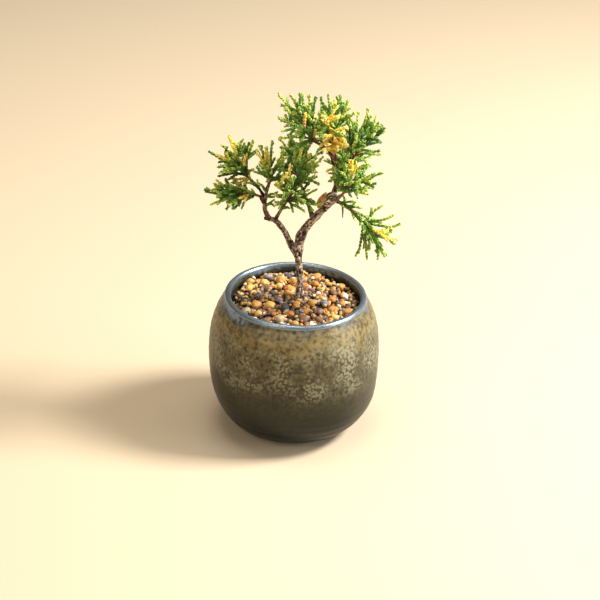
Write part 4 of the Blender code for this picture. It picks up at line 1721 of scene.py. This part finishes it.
@dataclass(frozen=True)
class LeafCoat:
    """Opposite pairs of scale leaves, each pair turned a quarter from the last, along a cord."""

    spacing: float = 0.68
    length: float = 1.30
    free_tip: float = 0.07  # how far a leaf leans out
    taper: float = 0.28
    rings: tuple = (  # how far along a leaf, and there the reach of its keel, its edges and its inner side
        (0.0, 0.36, 0.0, 0.0),
        (0.34, 1.00, 0.88, 0.10),
        (0.74, 1.08, 0.56, 0.34),
        (1.0, 1.0, 0.0, 0.0),
    )

    def leaf(self) -> Stock:
        """One scale leaf, its foot at the origin, +X away from the cord and +Z along it.

        The unit in X and Y is the cord's radius, and in Z the leaf's length.

        Returns:
            The leaf.
        """
        bm = bmesh.new()
        bmesh.ops.create_uvsphere(bm, u_segments=4, v_segments=3, radius=1.0)
        for vertex in bm.verts:
            x, y, z = vertex.co
            ring = (3 if z > 0 else 0) if abs(z) > 0.9 else 1 + int(z > 0)
            along, keel, edge, inner = self.rings[ring]
            if ring in (0, 3):
                vertex.co = (keel, 0.0, along)
            elif abs(y) > abs(x):
                vertex.co = (keel * 0.46, math.copysign(edge, y), along)
            else:
                vertex.co = (keel if x > 0 else inner, 0.0, along)
        return Stock(bm)

    def dress(self, heap: Heap, leaf: Stock, branchlet: Branchlet, turn: float) -> None:
        """Lays the leaves on one cord.

        Args:
            heap: Where they go.
            leaf: The leaf's shape.
            branchlet: The cord.
            turn: How far the first pair is turned round the cord.
        """
        path, walk = branchlet.path, walked(branchlet.path)
        first, last = branchlet.bare * walk[-1], max(walk[-1] - 0.8 * self.length, 0.3 * walk[-1])
        count = max(2, round((last - first) / self.spacing) + 1)
        stops = np.linspace(first, last, count)
        places, ahead = sampled(path, walk, stops), sampled(path, walk, stops + 0.25)
        along = ahead - places
        along /= np.linalg.norm(along, axis=1)[:, None]
        side = perpendicular(along[0], turn)
        side = side - (along @ side)[:, None] * along
        side /= np.linalg.norm(side, axis=1)[:, None]
        other = np.cross(along, side)
        odd = (np.arange(count) % 2)[:, None]
        out = np.where(odd == 1, other, side)
        shares = stops / walk[-1]
        radius = branchlet.radius * (1 - self.taper * shares**2)[:, None]
        size = self.length * (0.78 + 0.44 * branchlet.radius) * (1 - 0.15 * shares)[:, None]
        depth = between(branchlet.depths, shares)
        kinds = np.array([TONES.index(tone) for tone in branchlet.tones.value])[(depth * 3.999).astype(int)]
        for outwards in (out, -out):
            across = np.cross(along, outwards)
            lean = along + self.free_tip * outwards
            axes = np.stack([outwards * radius, across * radius, lean * size], axis=2)
            heap.add(leaf, places, axes, kinds)


@dataclass(frozen=True)
class SprayRule:
    """How a cord is carried on to finer twigs: prongs to both sides, and forks on the longer ones."""

    cord_radius: float = 0.54
    prong_radius: float = 0.46
    prong_spacing: float = 2.2
    prong_lengths: tuple = (4.2, 2.2)
    prong_leans: tuple = (math.radians(36), math.radians(26))
    prong_shares: tuple = (0.20, 0.86)
    curl: float = 0.24  # how far a prong turns back along its cord
    fork_over: float = 2.8  # length over which a prong is forked
    fork_share: float = 0.5
    fork_length: float = 0.46
    fork_lean: float = math.radians(30)
    flatness: float = 0.30  # how far prongs stray from the spray's plane, in radians
    shorter: tuple = (1.0, 0.75, 0.5)  # tries of a prong's length where room is short

    @staticmethod
    def arc(root: Array, heading: Array, length: float, pull: Array) -> Array:
        """A line that starts along the heading and bends by `pull` as it goes."""
        t = np.linspace(0.0, 1.0, 4)[:, None]
        return root + length * (t * heading + t * t * pull)

    def prongs(
        self, axis: Branchlet, first: float, space: Space, name: str, stray: bool, rng: Random
    ) -> list[Branchlet]:
        """The prongs of one cord, and their forks.

        Args:
            axis: The cord.
            first: Share of its length at which they begin.
            space: Free room.
            name: The mass's node.
            stray: Whether the cord may leave the cell.
            rng: Source of random numbers.

        Returns:
            The prongs that have room.
        """
        length = walked(axis.path)[-1]
        count = max(2, round((self.prong_shares[1] - first) * length / self.prong_spacing))
        roll, made = rng.uniform(0, math.tau), []
        for i, share in enumerate(np.linspace(first, self.prong_shares[1], count)):
            point, heading = point_along(axis.path, share)
            turn = roll + (i % 2) * math.pi + rng.normal(0, self.flatness)
            lean, reach = between(self.prong_leans, share), between(self.prong_lengths, share)
            reach *= rng.uniform(0.75, 1.15)
            aim = math.cos(lean) * heading + math.sin(lean) * perpendicular(heading, turn)
            begins = between(axis.depths, share)
            for shorter in self.shorter:
                path = self.arc(point, aim, reach * shorter, self.curl * heading)
                if space.welcomes(name, path, stray):
                    made.append(Branchlet(path, self.prong_radius, (0.6 * begins, 1.0), axis.tones))
                    break
            else:
                continue
            if reach * shorter > self.fork_over:
                fork = self.fork(made[-1], heading, rng)
                if space.welcomes(name, fork.path, stray):
                    made.append(fork)
        return made

    def fork(self, prong: Branchlet, heading: Array, rng: Random) -> Branchlet:
        """The side tip that makes a prong a Y.

        Args:
            prong: The prong.
            heading: The way of the cord that bears it.
            rng: Source of random numbers.

        Returns:
            The fork.
        """
        point, along = point_along(prong.path, self.fork_share)
        away = unit(along - heading * (along @ heading) * rng.uniform(0.8, 1.1))
        aim = math.cos(self.fork_lean) * along + math.sin(self.fork_lean) * away
        length = self.fork_length * walked(prong.path)[-1] * rng.uniform(0.85, 1.1)
        path = self.arc(point, aim, length, 0.1 * along)
        return Branchlet(path, 0.92 * prong.radius, (0.5, 1.0), prong.tones)


@dataclass(frozen=True)
class Sprig:
    """A leafy sprig on a limb: where along the limb it springs, its tip and its tones."""

    limb: str
    share: float
    tip: Point
    tones: Variegation | None = None


@dataclass(frozen=True)
class Foliage:
    """The crown: every mass grown by the rule and carried on to leafy sprays."""

    skeleton: Skeleton
    rule: GrowthRule = GrowthRule()
    sprays: SprayRule = SprayRule()
    coat: LeafCoat = LeafCoat()
    colouring: Colouring = Colouring()
    wood_radii: tuple = (0.46, 0.36)
    stem_sunk: float = 0.8  # how deep a mass's stem starts inside its limb
    sprig_from: float = 0.22  # share of a sprig's length at which its side tips begin
    comb_spacing: float = 1.5  # of the side tips straight on a leafy limb
    comb_cover: float = 0.12  # thickness of the leaves that lie on the limb
    comb_leans: tuple[float, float] = (0.7, 1.1)
    comb_lengths: tuple[float, float] = (1.84, 2.99)
    sprig_bow: float = 0.12  # how far a sprig's middle stands off, as a share of its length
    axis_from: float = 0.5  # share of a shoot at which side tips on its own axis begin
    bow: float = 0.35  # how far a cord's middle stands off the straight line
    shortest_cord: float = 2.4  # a cord that a gap leaves shorter is dropped
    wide_gap: float = 1.9  # radius of a gap that no shoot crosses

    def branchlets(self, name: str, stem: Array, shoots: list[Shoot], space: Space) -> list[Branchlet]:
        """Every leafy cord of a mass.

        Args:
            name: The mass's node.
            stem: Its stem.
            shoots: Its shoots with their cords.
            space: Free room.

        Returns:
            The cords, their prongs and forks.
        """
        rng = np.random.default_rng(seed_of(name) + 1)
        made, bare, rule = [], MASSES[name].bare, self.sprays
        if bare == 0.0:
            made.append(Branchlet(catmull_rom(stem, 2), rule.cord_radius, (0.2, 0.5), Variegation.YOUNG))
        for shoot in shoots:
            path = catmull_rom(shoot.path, 2)
            tones = self.colouring.deal(shoot.path[-2], rng)
            slim = slim_from(shoot.path[-1])
            axis = Branchlet(path, rule.cord_radius, (0.0, 1.0), tones, bare)
            made += [axis, *rule.prongs(axis, slim or self.axis_from, space, name, shoot.stray, rng)]
            for root, end in [] if slim else shoot.cords:
                line = np.array([root, (root + end) / 2, end])
                line[1] += perpendicular(unit(end - root), rng.uniform(0, math.tau)) * self.bow
                tones = self.colouring.deal((root + end) / 2, rng)
                line = space.short_of_gaps(catmull_rom(line, 2))
                if walked(line)[-1] < self.shortest_cord:
                    continue
                cord = Branchlet(line, rule.cord_radius, (0.1, 1.0), tones, 0.06)
                made += [cord, *rule.prongs(cord, rule.prong_shares[0], space, name, shoot.stray, rng)]
        return made

    def clothed(self, limb: str, first: float, rng: Random) -> list[Branchlet]:
        """The scale leaves over a thin limb's own bark, and the short side tips along it.

        Args:
            limb: The limb's name.
            first: Share of its length at which the green begins.
            rng: Source of random numbers.

        Returns:
            The cords.
        """
        path, radii = self.skeleton.lines[limb]
        made = [Branchlet(path, radii[0] + self.comb_cover, (0.1, 0.4), Variegation.YOUNG, first)]
        count = round((1 - first) * walked(path)[-1] / self.comb_spacing)
        for i, share in enumerate(np.linspace(first, 0.98, count)):
            root, heading = point_along(path, share)
            lean = rng.uniform(*self.comb_leans)
            aim = unit(heading + perpendicular(heading, i * GOLDEN_ANGLE) * lean)
            length = rng.uniform(*self.comb_lengths) + radii[0]
            line, tones = self.sprays.arc(root, aim, length, 0.2 * heading), self.colouring.deal(root, rng)
            made.append(Branchlet(line, self.sprays.prong_radius, (0.3, 1.0), tones))
        return made

    def sprigs(
        self, sprigs: Sequence[Sprig], space: Space, skins: Sequence[Material]
    ) -> list[Piece]:
        """The leafy sprigs that grow straight from the limbs.

        Args:
            sprigs: Their places and tips.
            space: Free room.
            skins: A material for each tone, then the twigs' bark.

        Returns:
            Their twigs and their leaves.
        """
        rng = np.random.default_rng(29)
        made = [cord for limb, first in LEAFY_LIMBS.items() for cord in self.clothed(limb, first, rng)]
        for sprig in sprigs:
            root, heading = point_along(self.skeleton.lines[sprig.limb][0], sprig.share)
            tip = np.array(sprig.tip)
            bend = (root + tip) / 2 + self.sprig_bow * np.linalg.norm(tip - root) * heading
            tones = self.colouring.deal(tip, rng)
            path = catmull_rom([root, bend, tip], 4)
            axis = Branchlet(path, self.sprays.cord_radius, (0.1, 1.0), sprig.tones or tones, 0.1)
            made += [axis, *self.sprays.prongs(axis, self.sprig_from, space, "", True, rng)]
        return self.pieces("sprig", made, Heap(), skins, rng)

    def wood(self, name: str, stem: Array, shoots: list[Shoot], heap: Heap) -> None:
        """The brown stem and the brown feet of the shoots.

        Args:
            name: The mass's node.
            stem: Its stem.
            shoots: Its shoots.
            heap: Where the wood goes.
        """
        limb_path, limb_radii = self.skeleton.lines[MASSES[name].limb]
        foot = limb_path[-1] - unit(limb_path[-1] - limb_path[-2]) * self.stem_sunk
        path = np.vstack([foot, stem])
        bm, _ = tube(path, np.linspace(limb_radii[-1] * 0.98, self.wood_radii[0], len(path)), 8)
        heap.add_one(Stock(bm), len(TONES))
        for shoot in shoots:
            fine = catmull_rom(shoot.path, 2)
            reach, rings, sides = MASSES[name].bare + 0.1, 5, 6
            path = np.array([point_along(fine, share)[0] for share in np.linspace(0, reach, rings)])
            bm, _ = tube(path, np.linspace(*self.wood_radii, rings), sides)
            heap.add_one(Stock(bm), len(TONES))

    def build(self, name: str, space: Space, skins: Sequence[Material]) -> list[Piece]:
        """The pieces of one mass: its twigs and its leaves.

        Args:
            name: The mass's node.
            space: Free room, which the mass takes up.
            skins: A material for each tone, then the twigs' bark.

        Returns:
            The pieces.
        """
        mass = MASSES[name]
        stem, shoots = self.rule.grow(name, mass, self.skeleton.lines[mass.limb][0], space)
        shoots = [shoot for shoot in shoots if shoot.stray or not self.shuts(shoot, space)]
        twigs = Heap()
        self.wood(name, stem, shoots, twigs)
        rng = np.random.default_rng(seed_of(name) + 2)
        return self.pieces(name, self.branchlets(name, stem, shoots, space), twigs, skins, rng)

    def shuts(self, shoot: Shoot, space: Space) -> bool:
        """Whether a shoot would cross a wide gap."""
        return bool(space.bars(catmull_rom(shoot.path[1:], 4), self.wide_gap).any())

    def pieces(
        self,
        name: str,
        branchlets: list[Branchlet],
        twigs: Heap,
        skins: Sequence[Material],
        rng: Random,
    ) -> list[Piece]:
        """Dresses cords with leaves over a thin green core.

        Args:
            name: What the pieces' names begin with.
            branchlets: The cords.
            twigs: The bare wood so far, which the cores join.
            skins: A material for each tone, then the twigs' bark.
            rng: Source of random numbers.

        Returns:
            The twigs and the leaves.
        """
        leaves, leaf, rod = Heap(), self.coat.leaf(), self.rod()
        for branchlet in branchlets:
            self.coat.dress(leaves, leaf, branchlet, rng.uniform(0, math.tau))
            steps = np.diff(branchlet.path, axis=0)
            lengths = np.linalg.norm(steps, axis=1)
            side = np.array([perpendicular(unit(step), 0.0) for step in steps])
            other = np.cross(steps / lengths[:, None], side)
            thick = 0.5 * branchlet.radius
            axes = np.stack([side * thick, other * thick, steps * 1.03], axis=2)
            kind = TONES.index(branchlet.tones.value[1])
            twigs.add(rod, branchlet.path[:-1], axes, np.full(len(steps), kind))
        return [twigs.build(name + "_twigs", skins), leaves.build(name + "_leaves", skins[:-1])]

    @staticmethod
    def rod() -> Stock:
        """A four-sided rod, one long and one in radius, from the origin to +Z.

        Returns:
            The rod.
        """
        bm = bmesh.new()
        sizes = {"segments": 4, "radius1": 1.0, "radius2": 0.92, "depth": 1.0}
        bmesh.ops.create_cone(bm, cap_ends=True, matrix=Matrix.Translation((0, 0, 0.5)), **sizes)
        return Stock(bm)


# Studio --------
@dataclass(frozen=True)
class Softbox:
    """A square soft light."""

    name: str
    place: Point
    size: float
    power: float  # in watts
    colour: Colour

    def build(self, target: Vector) -> None:
        """Hangs the light at its place, turned to the target.

        Args:
            target: What the light looks at, in millimetres.
        """
        light = bpy.data.lights.new(self.name, "AREA")
        light.size, light.energy, light.color = self.size * MM, self.power, self.colour
        made = bpy.data.objects.new(self.name, light)
        made.location = Vector(self.place) * MM
        made.rotation_euler = (target * MM - made.location).to_track_quat("-Z", "Y").to_euler()
        bpy.context.scene.collection.objects.link(made)


@dataclass(frozen=True)
class Studio:
    """A pale floor, soft light and the camera."""

    lens: float = 105.0
    sensor: float = 36.0
    distance: float = 646.9  # from the camera to the middle of the pot's mouth
    elevation: float = math.radians(28.0)
    roll: float = math.radians(2.3)
    mouth_shows: tuple = (295.8, 292.4)  # where in the picture the middle of the mouth is
    picture: float = 600.0  # its width and height
    floor_size: float = 4000.0
    softboxes: tuple[Softbox, ...] = (
        Softbox("key_light", (600.0, 20.0, 640.0), 220.0, 15.0, (0.97, 0.98, 1.0)),
        Softbox("side_light", (720.0, -160.0, 180.0), 420.0, 4.4, (0.84, 0.92, 1.0)),
        Softbox("fill_light", (-500.0, -700.0, 640.0), 600.0, 3.4, (1.0, 0.92, 0.80)),
        Softbox("top_light", (-60.0, 60.0, 800.0), 400.0, 3.0, (1.0, 0.97, 0.92)),
    )
    ambient: tuple = (1.0, 0.93, 0.82, 1.0)
    ambient_strength: float = 0.22

    def view(self, mouth: Vector) -> tuple[Vector, Vector, Vector, Vector]:
        """The camera's posture, from where the pot's mouth shows in the picture.

        Args:
            mouth: Middle of the pot's mouth, in millimetres.

        Returns:
            Its place, right, up and back.
        """
        ahead = Vector((0.0, math.cos(self.elevation), -math.sin(self.elevation)))
        level_up = Vector((0.0, math.sin(self.elevation), math.cos(self.elevation)))
        right = math.cos(self.roll) * Vector((1, 0, 0)) + math.sin(self.roll) * level_up
        up = -math.sin(self.roll) * Vector((1, 0, 0)) + math.cos(self.roll) * level_up
        focal = self.lens / self.sensor * self.picture
        aside = (self.mouth_shows[0] - self.picture / 2) / focal
        above = (self.picture / 2 - self.mouth_shows[1]) / focal
        return mouth - (ahead + aside * right + above * up) * self.distance, right, up, -ahead

    def camera(self, mouth: Vector) -> None:
        """Sets up the camera.

        Args:
            mouth: Middle of the pot's mouth.
        """
        place, *axes = self.view(mouth)
        data = bpy.data.cameras.new("camera")
        data.lens, data.sensor_width = self.lens, self.sensor
        made = bpy.data.objects.new("camera", data)
        made.matrix_world = Matrix.Translation(place * MM) @ Matrix(axes).transposed().to_4x4()
        bpy.context.scene.collection.objects.link(made)
        bpy.context.scene.camera = made

    def build(self, mouth: Vector, floor: Plain) -> None:
        """Sets up camera, lights, ambient light and floor.

        Args:
            mouth: Middle of the pot's mouth.
            floor: The floor's finish.
        """
        self.camera(mouth)
        for softbox in self.softboxes:
            softbox.build(mouth)
        world = bpy.data.worlds.new("ambient")
        world.use_nodes = True
        sky = world.node_tree.nodes["Background"].inputs
        sky["Color"].default_value = self.ambient
        sky["Strength"].default_value = self.ambient_strength
        bpy.context.scene.world = world
        bpy.context.scene.view_settings.view_transform = "Standard"
        bm = bmesh.new()
        bmesh.ops.create_grid(bm, x_segments=1, y_segments=1, size=self.floor_size / 2)
        piece_from(bm, "floor", floor.material())


# Finishes of this plant --------
# The top band of each glaze, blue-grey on the lip, is a painted reflection of cool light.
OUTSIDE_GLAZE = Glaze(
    "ash glaze",
    (
        (0.0, (0.004, 0.007, 0.008)),
        (6.0, (0.006, 0.010, 0.010)),
        (13.0, (0.014, 0.016, 0.011)),
        (22.0, (0.038, 0.034, 0.017)),
        (32.0, (0.070, 0.058, 0.028)),
        (41.0, (0.105, 0.084, 0.038)),
        (46.5, (0.230, 0.162, 0.056)),
        (50.0, (0.200, 0.158, 0.078)),
        (51.6, (0.120, 0.122, 0.100)),
        (53.4, (0.220, 0.270, 0.305)),
    ),
    (0.232, 0.218, 0.132),
    (24.0, 33.0, 43.5, 48.0),
)
INSIDE_GLAZE = Glaze(
    "inner glaze",
    (
        (0.0, (0.030, 0.027, 0.014)),
        (47.0, (0.066, 0.060, 0.030)),
        (51.5, (0.090, 0.088, 0.056)),
        (53.4, (0.220, 0.270, 0.305)),
    ),
    (0.130, 0.120, 0.080),
    (44.0, 46.0, 50.0, 51.0),
    lip_height=53.0,
)
CLAY = Plain("bare clay", (0.060, 0.042, 0.030), (0.100, 0.070, 0.048), 2.0)
# Dark grit dust, darker still as painted shade in the gaps between the stones.
BED_DUST_AND_SHADE = Plain("grit dust and shade", (0.026, 0.016, 0.009), (0.060, 0.036, 0.018), 1.6)
FLOOR = Plain("pale floor", (0.600, 0.475, 0.315), (0.585, 0.460, 0.303), 240.0)
# The first colour of each bark, in its cracks, is the darker inner bark with painted shade.
OLD_BARK = Bark("old bark", (0.015, 0.009, 0.006), (0.150, 0.095, 0.060), (0.620, 0.490, 0.370))
HEALED_BARK = Bark("healed bark", (0.030, 0.019, 0.013), (0.330, 0.240, 0.170), (0.820, 0.710, 0.580))
RED_BARK = Bark("red bark", (0.036, 0.008, 0.007), (0.165, 0.036, 0.026), (0.400, 0.150, 0.095))
YOUNG_BARK = Bark("young bark", (0.030, 0.014, 0.008), (0.160, 0.085, 0.042), (0.340, 0.215, 0.125))
FLAKE_PALE = Mottled("pale bark flake", (0.520, 0.400, 0.300), (0.340, 0.225, 0.150), 0.9)
FLAKE_BROWN = Mottled("brown bark flake", (0.220, 0.130, 0.075), (0.120, 0.065, 0.035), 0.9)
TWIG_BARK = Mottled("twig bark", (0.230, 0.075, 0.030), (0.120, 0.040, 0.018), 1.2)
DEAD_BLADE = Mottled("dead blade", (0.640, 0.320, 0.085), (0.300, 0.120, 0.036), 1.0)
STONES = (
    (Mottled("amber stone", (0.600, 0.300, 0.065), (0.440, 0.180, 0.035)), 0.22),
    (Mottled("ochre stone", (0.700, 0.450, 0.120), (0.560, 0.300, 0.070)), 0.18),
    (Mottled("orange stone", (0.500, 0.200, 0.050), (0.340, 0.110, 0.028)), 0.08),
    (Mottled("brown stone", (0.210, 0.110, 0.050), (0.120, 0.060, 0.030)), 0.18),
    (Mottled("tan stone", (0.500, 0.380, 0.210), (0.380, 0.260, 0.130)), 0.07),
    (Mottled("cream stone", (0.840, 0.740, 0.520), (0.680, 0.540, 0.320)), 0.06),
    (Mottled("mauve stone", (0.250, 0.180, 0.170), (0.150, 0.100, 0.095)), 0.09),
    (Mottled("dark stone", (0.040, 0.036, 0.032), (0.080, 0.066, 0.055)), 0.10),
    (Mottled("grey stone", (0.300, 0.285, 0.265), (0.190, 0.175, 0.165)), 0.02),
)
STUBS = (  # foot, tip and diameters
    ((-10.4, 2.0, 82.6), (-12.4, 1.6, 83.2), (1.5, 1.2)),
    ((-12.8, 1.7, 91.4), (-14.9, 1.0, 95.4), (1.0, 0.6)),
    ((15.4, -1.8, 91.6), (15.8, -3.0, 86.8), (0.8, 0.35)),
)
LEAFY_LIMBS = {"limb_right": 0.22, "limb_left_high": 0.30}  # and where along them the green begins
SKY_DEPTH = -3.0  # where the places below are read off
SKY_GAPS = (  # x, z and radius
    (-14.8, 99.4, 3.0), (-17.2, 105.4, 1.1), (-8.7, 110.8, 1.4), (-6.0, 108.4, 1.3),
    (-1.4, 102.8, 0.9), (0.6, 98.2, 0.9), (-8.2, 91.6, 1.4), (-4.6, 89.6, 2.0), (-2.3, 116.8, 0.9),
    (1.6, 116.7, 0.9), (3.4, 112.8, 1.4), (8.9, 107.2, 1.5), (8.3, 102.2, 2.0), (7.0, 122.0, 0.8),
    (13.8, 122.2, 0.8), (20.0, 122.8, 0.8), (21.8, 113.2, 1.1), (15.2, 97.6, 1.1),
    (26.0, 109.4, 2.0),
)
BURL = ((9.6, 0.6, 90.2), (10.8, -0.4, 92.4), (12.2, -1.4, 94.2), (14.2, -2.0, 94.6))
BURL_DIAMETERS = (2.6, 4.2, 3.8, 2.0)
DRIED_LEAF = DriedLeaf((7.0, -1.2, 89.4), (9.6, -3.2, 96.8), 2.5)
SPRIGS_ON = {  # share of the limb's length, tip and colouring, which is dealt where none is named
    "limb_right": (
        (0.30, (16.2, -4.6, 95.4)), (0.62, (19.6, -4.6, 93.2), Variegation.YOUNG),
        (1.00, (29.0, -7.8, 83.4), Variegation.YOUNG), (1.00, (26.6, -9.0, 81.0)),
        (1.00, (27.0, -5.0, 87.6), Variegation.YOUNG),
    ),
    "leader": (
        (0.10, (16.9, -6.4, 98.8)), (0.22, (13.4, -7.4, 100.9)),
        (0.36, (12.0, -7.6, 104.9), Variegation.YOUNG), (0.30, (10.0, -5.6, 102.0)),
        (0.44, (9.4, -5.8, 106.4), Variegation.GILT), (0.52, (15.0, -7.0, 108.4)),
        (0.66, (17.8, -6.4, 110.6), Variegation.YOUNG), (0.90, (9.4, -7.6, 115.6), Variegation.GOLDEN),
        (0.94, (12.8, -9.0, 116.8), Variegation.GOLDEN), (0.98, (15.8, -7.6, 116.4), Variegation.GOLDEN),
        (1.00, (11.8, -8.2, 119.0), Variegation.GOLDEN), (1.00, (15.0, -7.4, 119.2), Variegation.GOLDEN),
    ),
    "limb_left": (
        (0.30, (-9.4, -1.6, 90.4)), (0.55, (-8.6, -2.6, 94.8)),
        (0.72, (-15.4, -1.6, 98.6), Variegation.YOUNG),
    ),
    "limb_left_low": (
        (0.80, (-19.0, -3.4, 96.6)), (0.95, (-20.4, -1.6, 89.8)),
    ),
    "limb_left_high": (
        (0.50, (-18.6, -1.0, 98.2), Variegation.YOUNG), (0.95, (-22.8, 1.0, 98.2)),
    ),
    "limb_centre": (
        (0.60, (-3.4, -5.0, 90.6)), (0.90, (-8.8, -4.0, 92.4), Variegation.YOUNG),
    ),
    "limb_top_left": (
        (0.60, (5.2, -6.2, 111.6)),
    ),
    "limb_top_right": (
        (0.70, (20.6, -5.4, 107.6)),
    ),
}
SPRIGS = [Sprig(limb, *row) for limb, rows in SPRIGS_ON.items() for row in rows]


def main() -> None:
    """Builds the plant, its pot and the studio round them."""
    logging.basicConfig(level=logging.INFO, format="%(message)s")
    noise.seed_set(NOISE_SEED)
    pot = Pot()
    settle(pot.build(OUTSIDE_GLAZE, INSIDE_GLAZE, CLAY), "glaze", "pot")
    grit = Grit(pot)
    settle(grit.bed(BED_DUST_AND_SHADE), "grit", "grit")
    x, y, _ = TRUNK_LINE[0]
    settle(grit.stones(STONES, (x, y, TRUNK_DIAMETERS[0] / 2)), "grit", "grit")

    skeleton = Skeleton()
    wood = Woodwork(skeleton)
    old, red, young = (bark.material() for bark in (OLD_BARK, RED_BARK, YOUNG_BARK))
    barks = dict.fromkeys(skeleton.lines, young)
    barks |= dict.fromkeys(wood.old, old) | dict.fromkeys(wood.red, red)
    for name, bark in barks.items():
        settle(wood.limb(name, bark), "bark", name)
    settle(wood.flakes([FLAKE_PALE.material(), FLAKE_BROWN.material()]), "bark", "trunk", "bough_left")
    settle(wood.burl(BURL, BURL_DIAMETERS, HEALED_BARK.material()), "bark", "trunk")
    settle(wood.stubs(STUBS, old), "bark", "trunk", "bough_left", "limb_left", "limb_right")

    studio, mouth = Studio(), Vector((0.0, 0.0, pot.height))
    space = Space(skeleton.lines, studio.view(mouth)[0], SKY_GAPS)
    foliage = Foliage(skeleton)
    skins = [Leaf(tone.name.lower() + " leaf", tone.value).material() for tone in TONES]
    skins.append(TWIG_BARK.material())
    for name in MASSES:
        for piece in foliage.build(name, space, skins):
            settle(piece, "leaves", name)

    settle(DRIED_LEAF.build(DEAD_BLADE), "leaves", "foliage_centre")
    for piece in foliage.sprigs(SPRIGS, space, skins):
        settle(piece, "leaves", *sorted({*LEAFY_LIMBS, *(sprig.limb for sprig in SPRIGS)}))

    studio.build(mouth, FLOOR)
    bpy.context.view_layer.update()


if __name__ == "__main__":
    main()
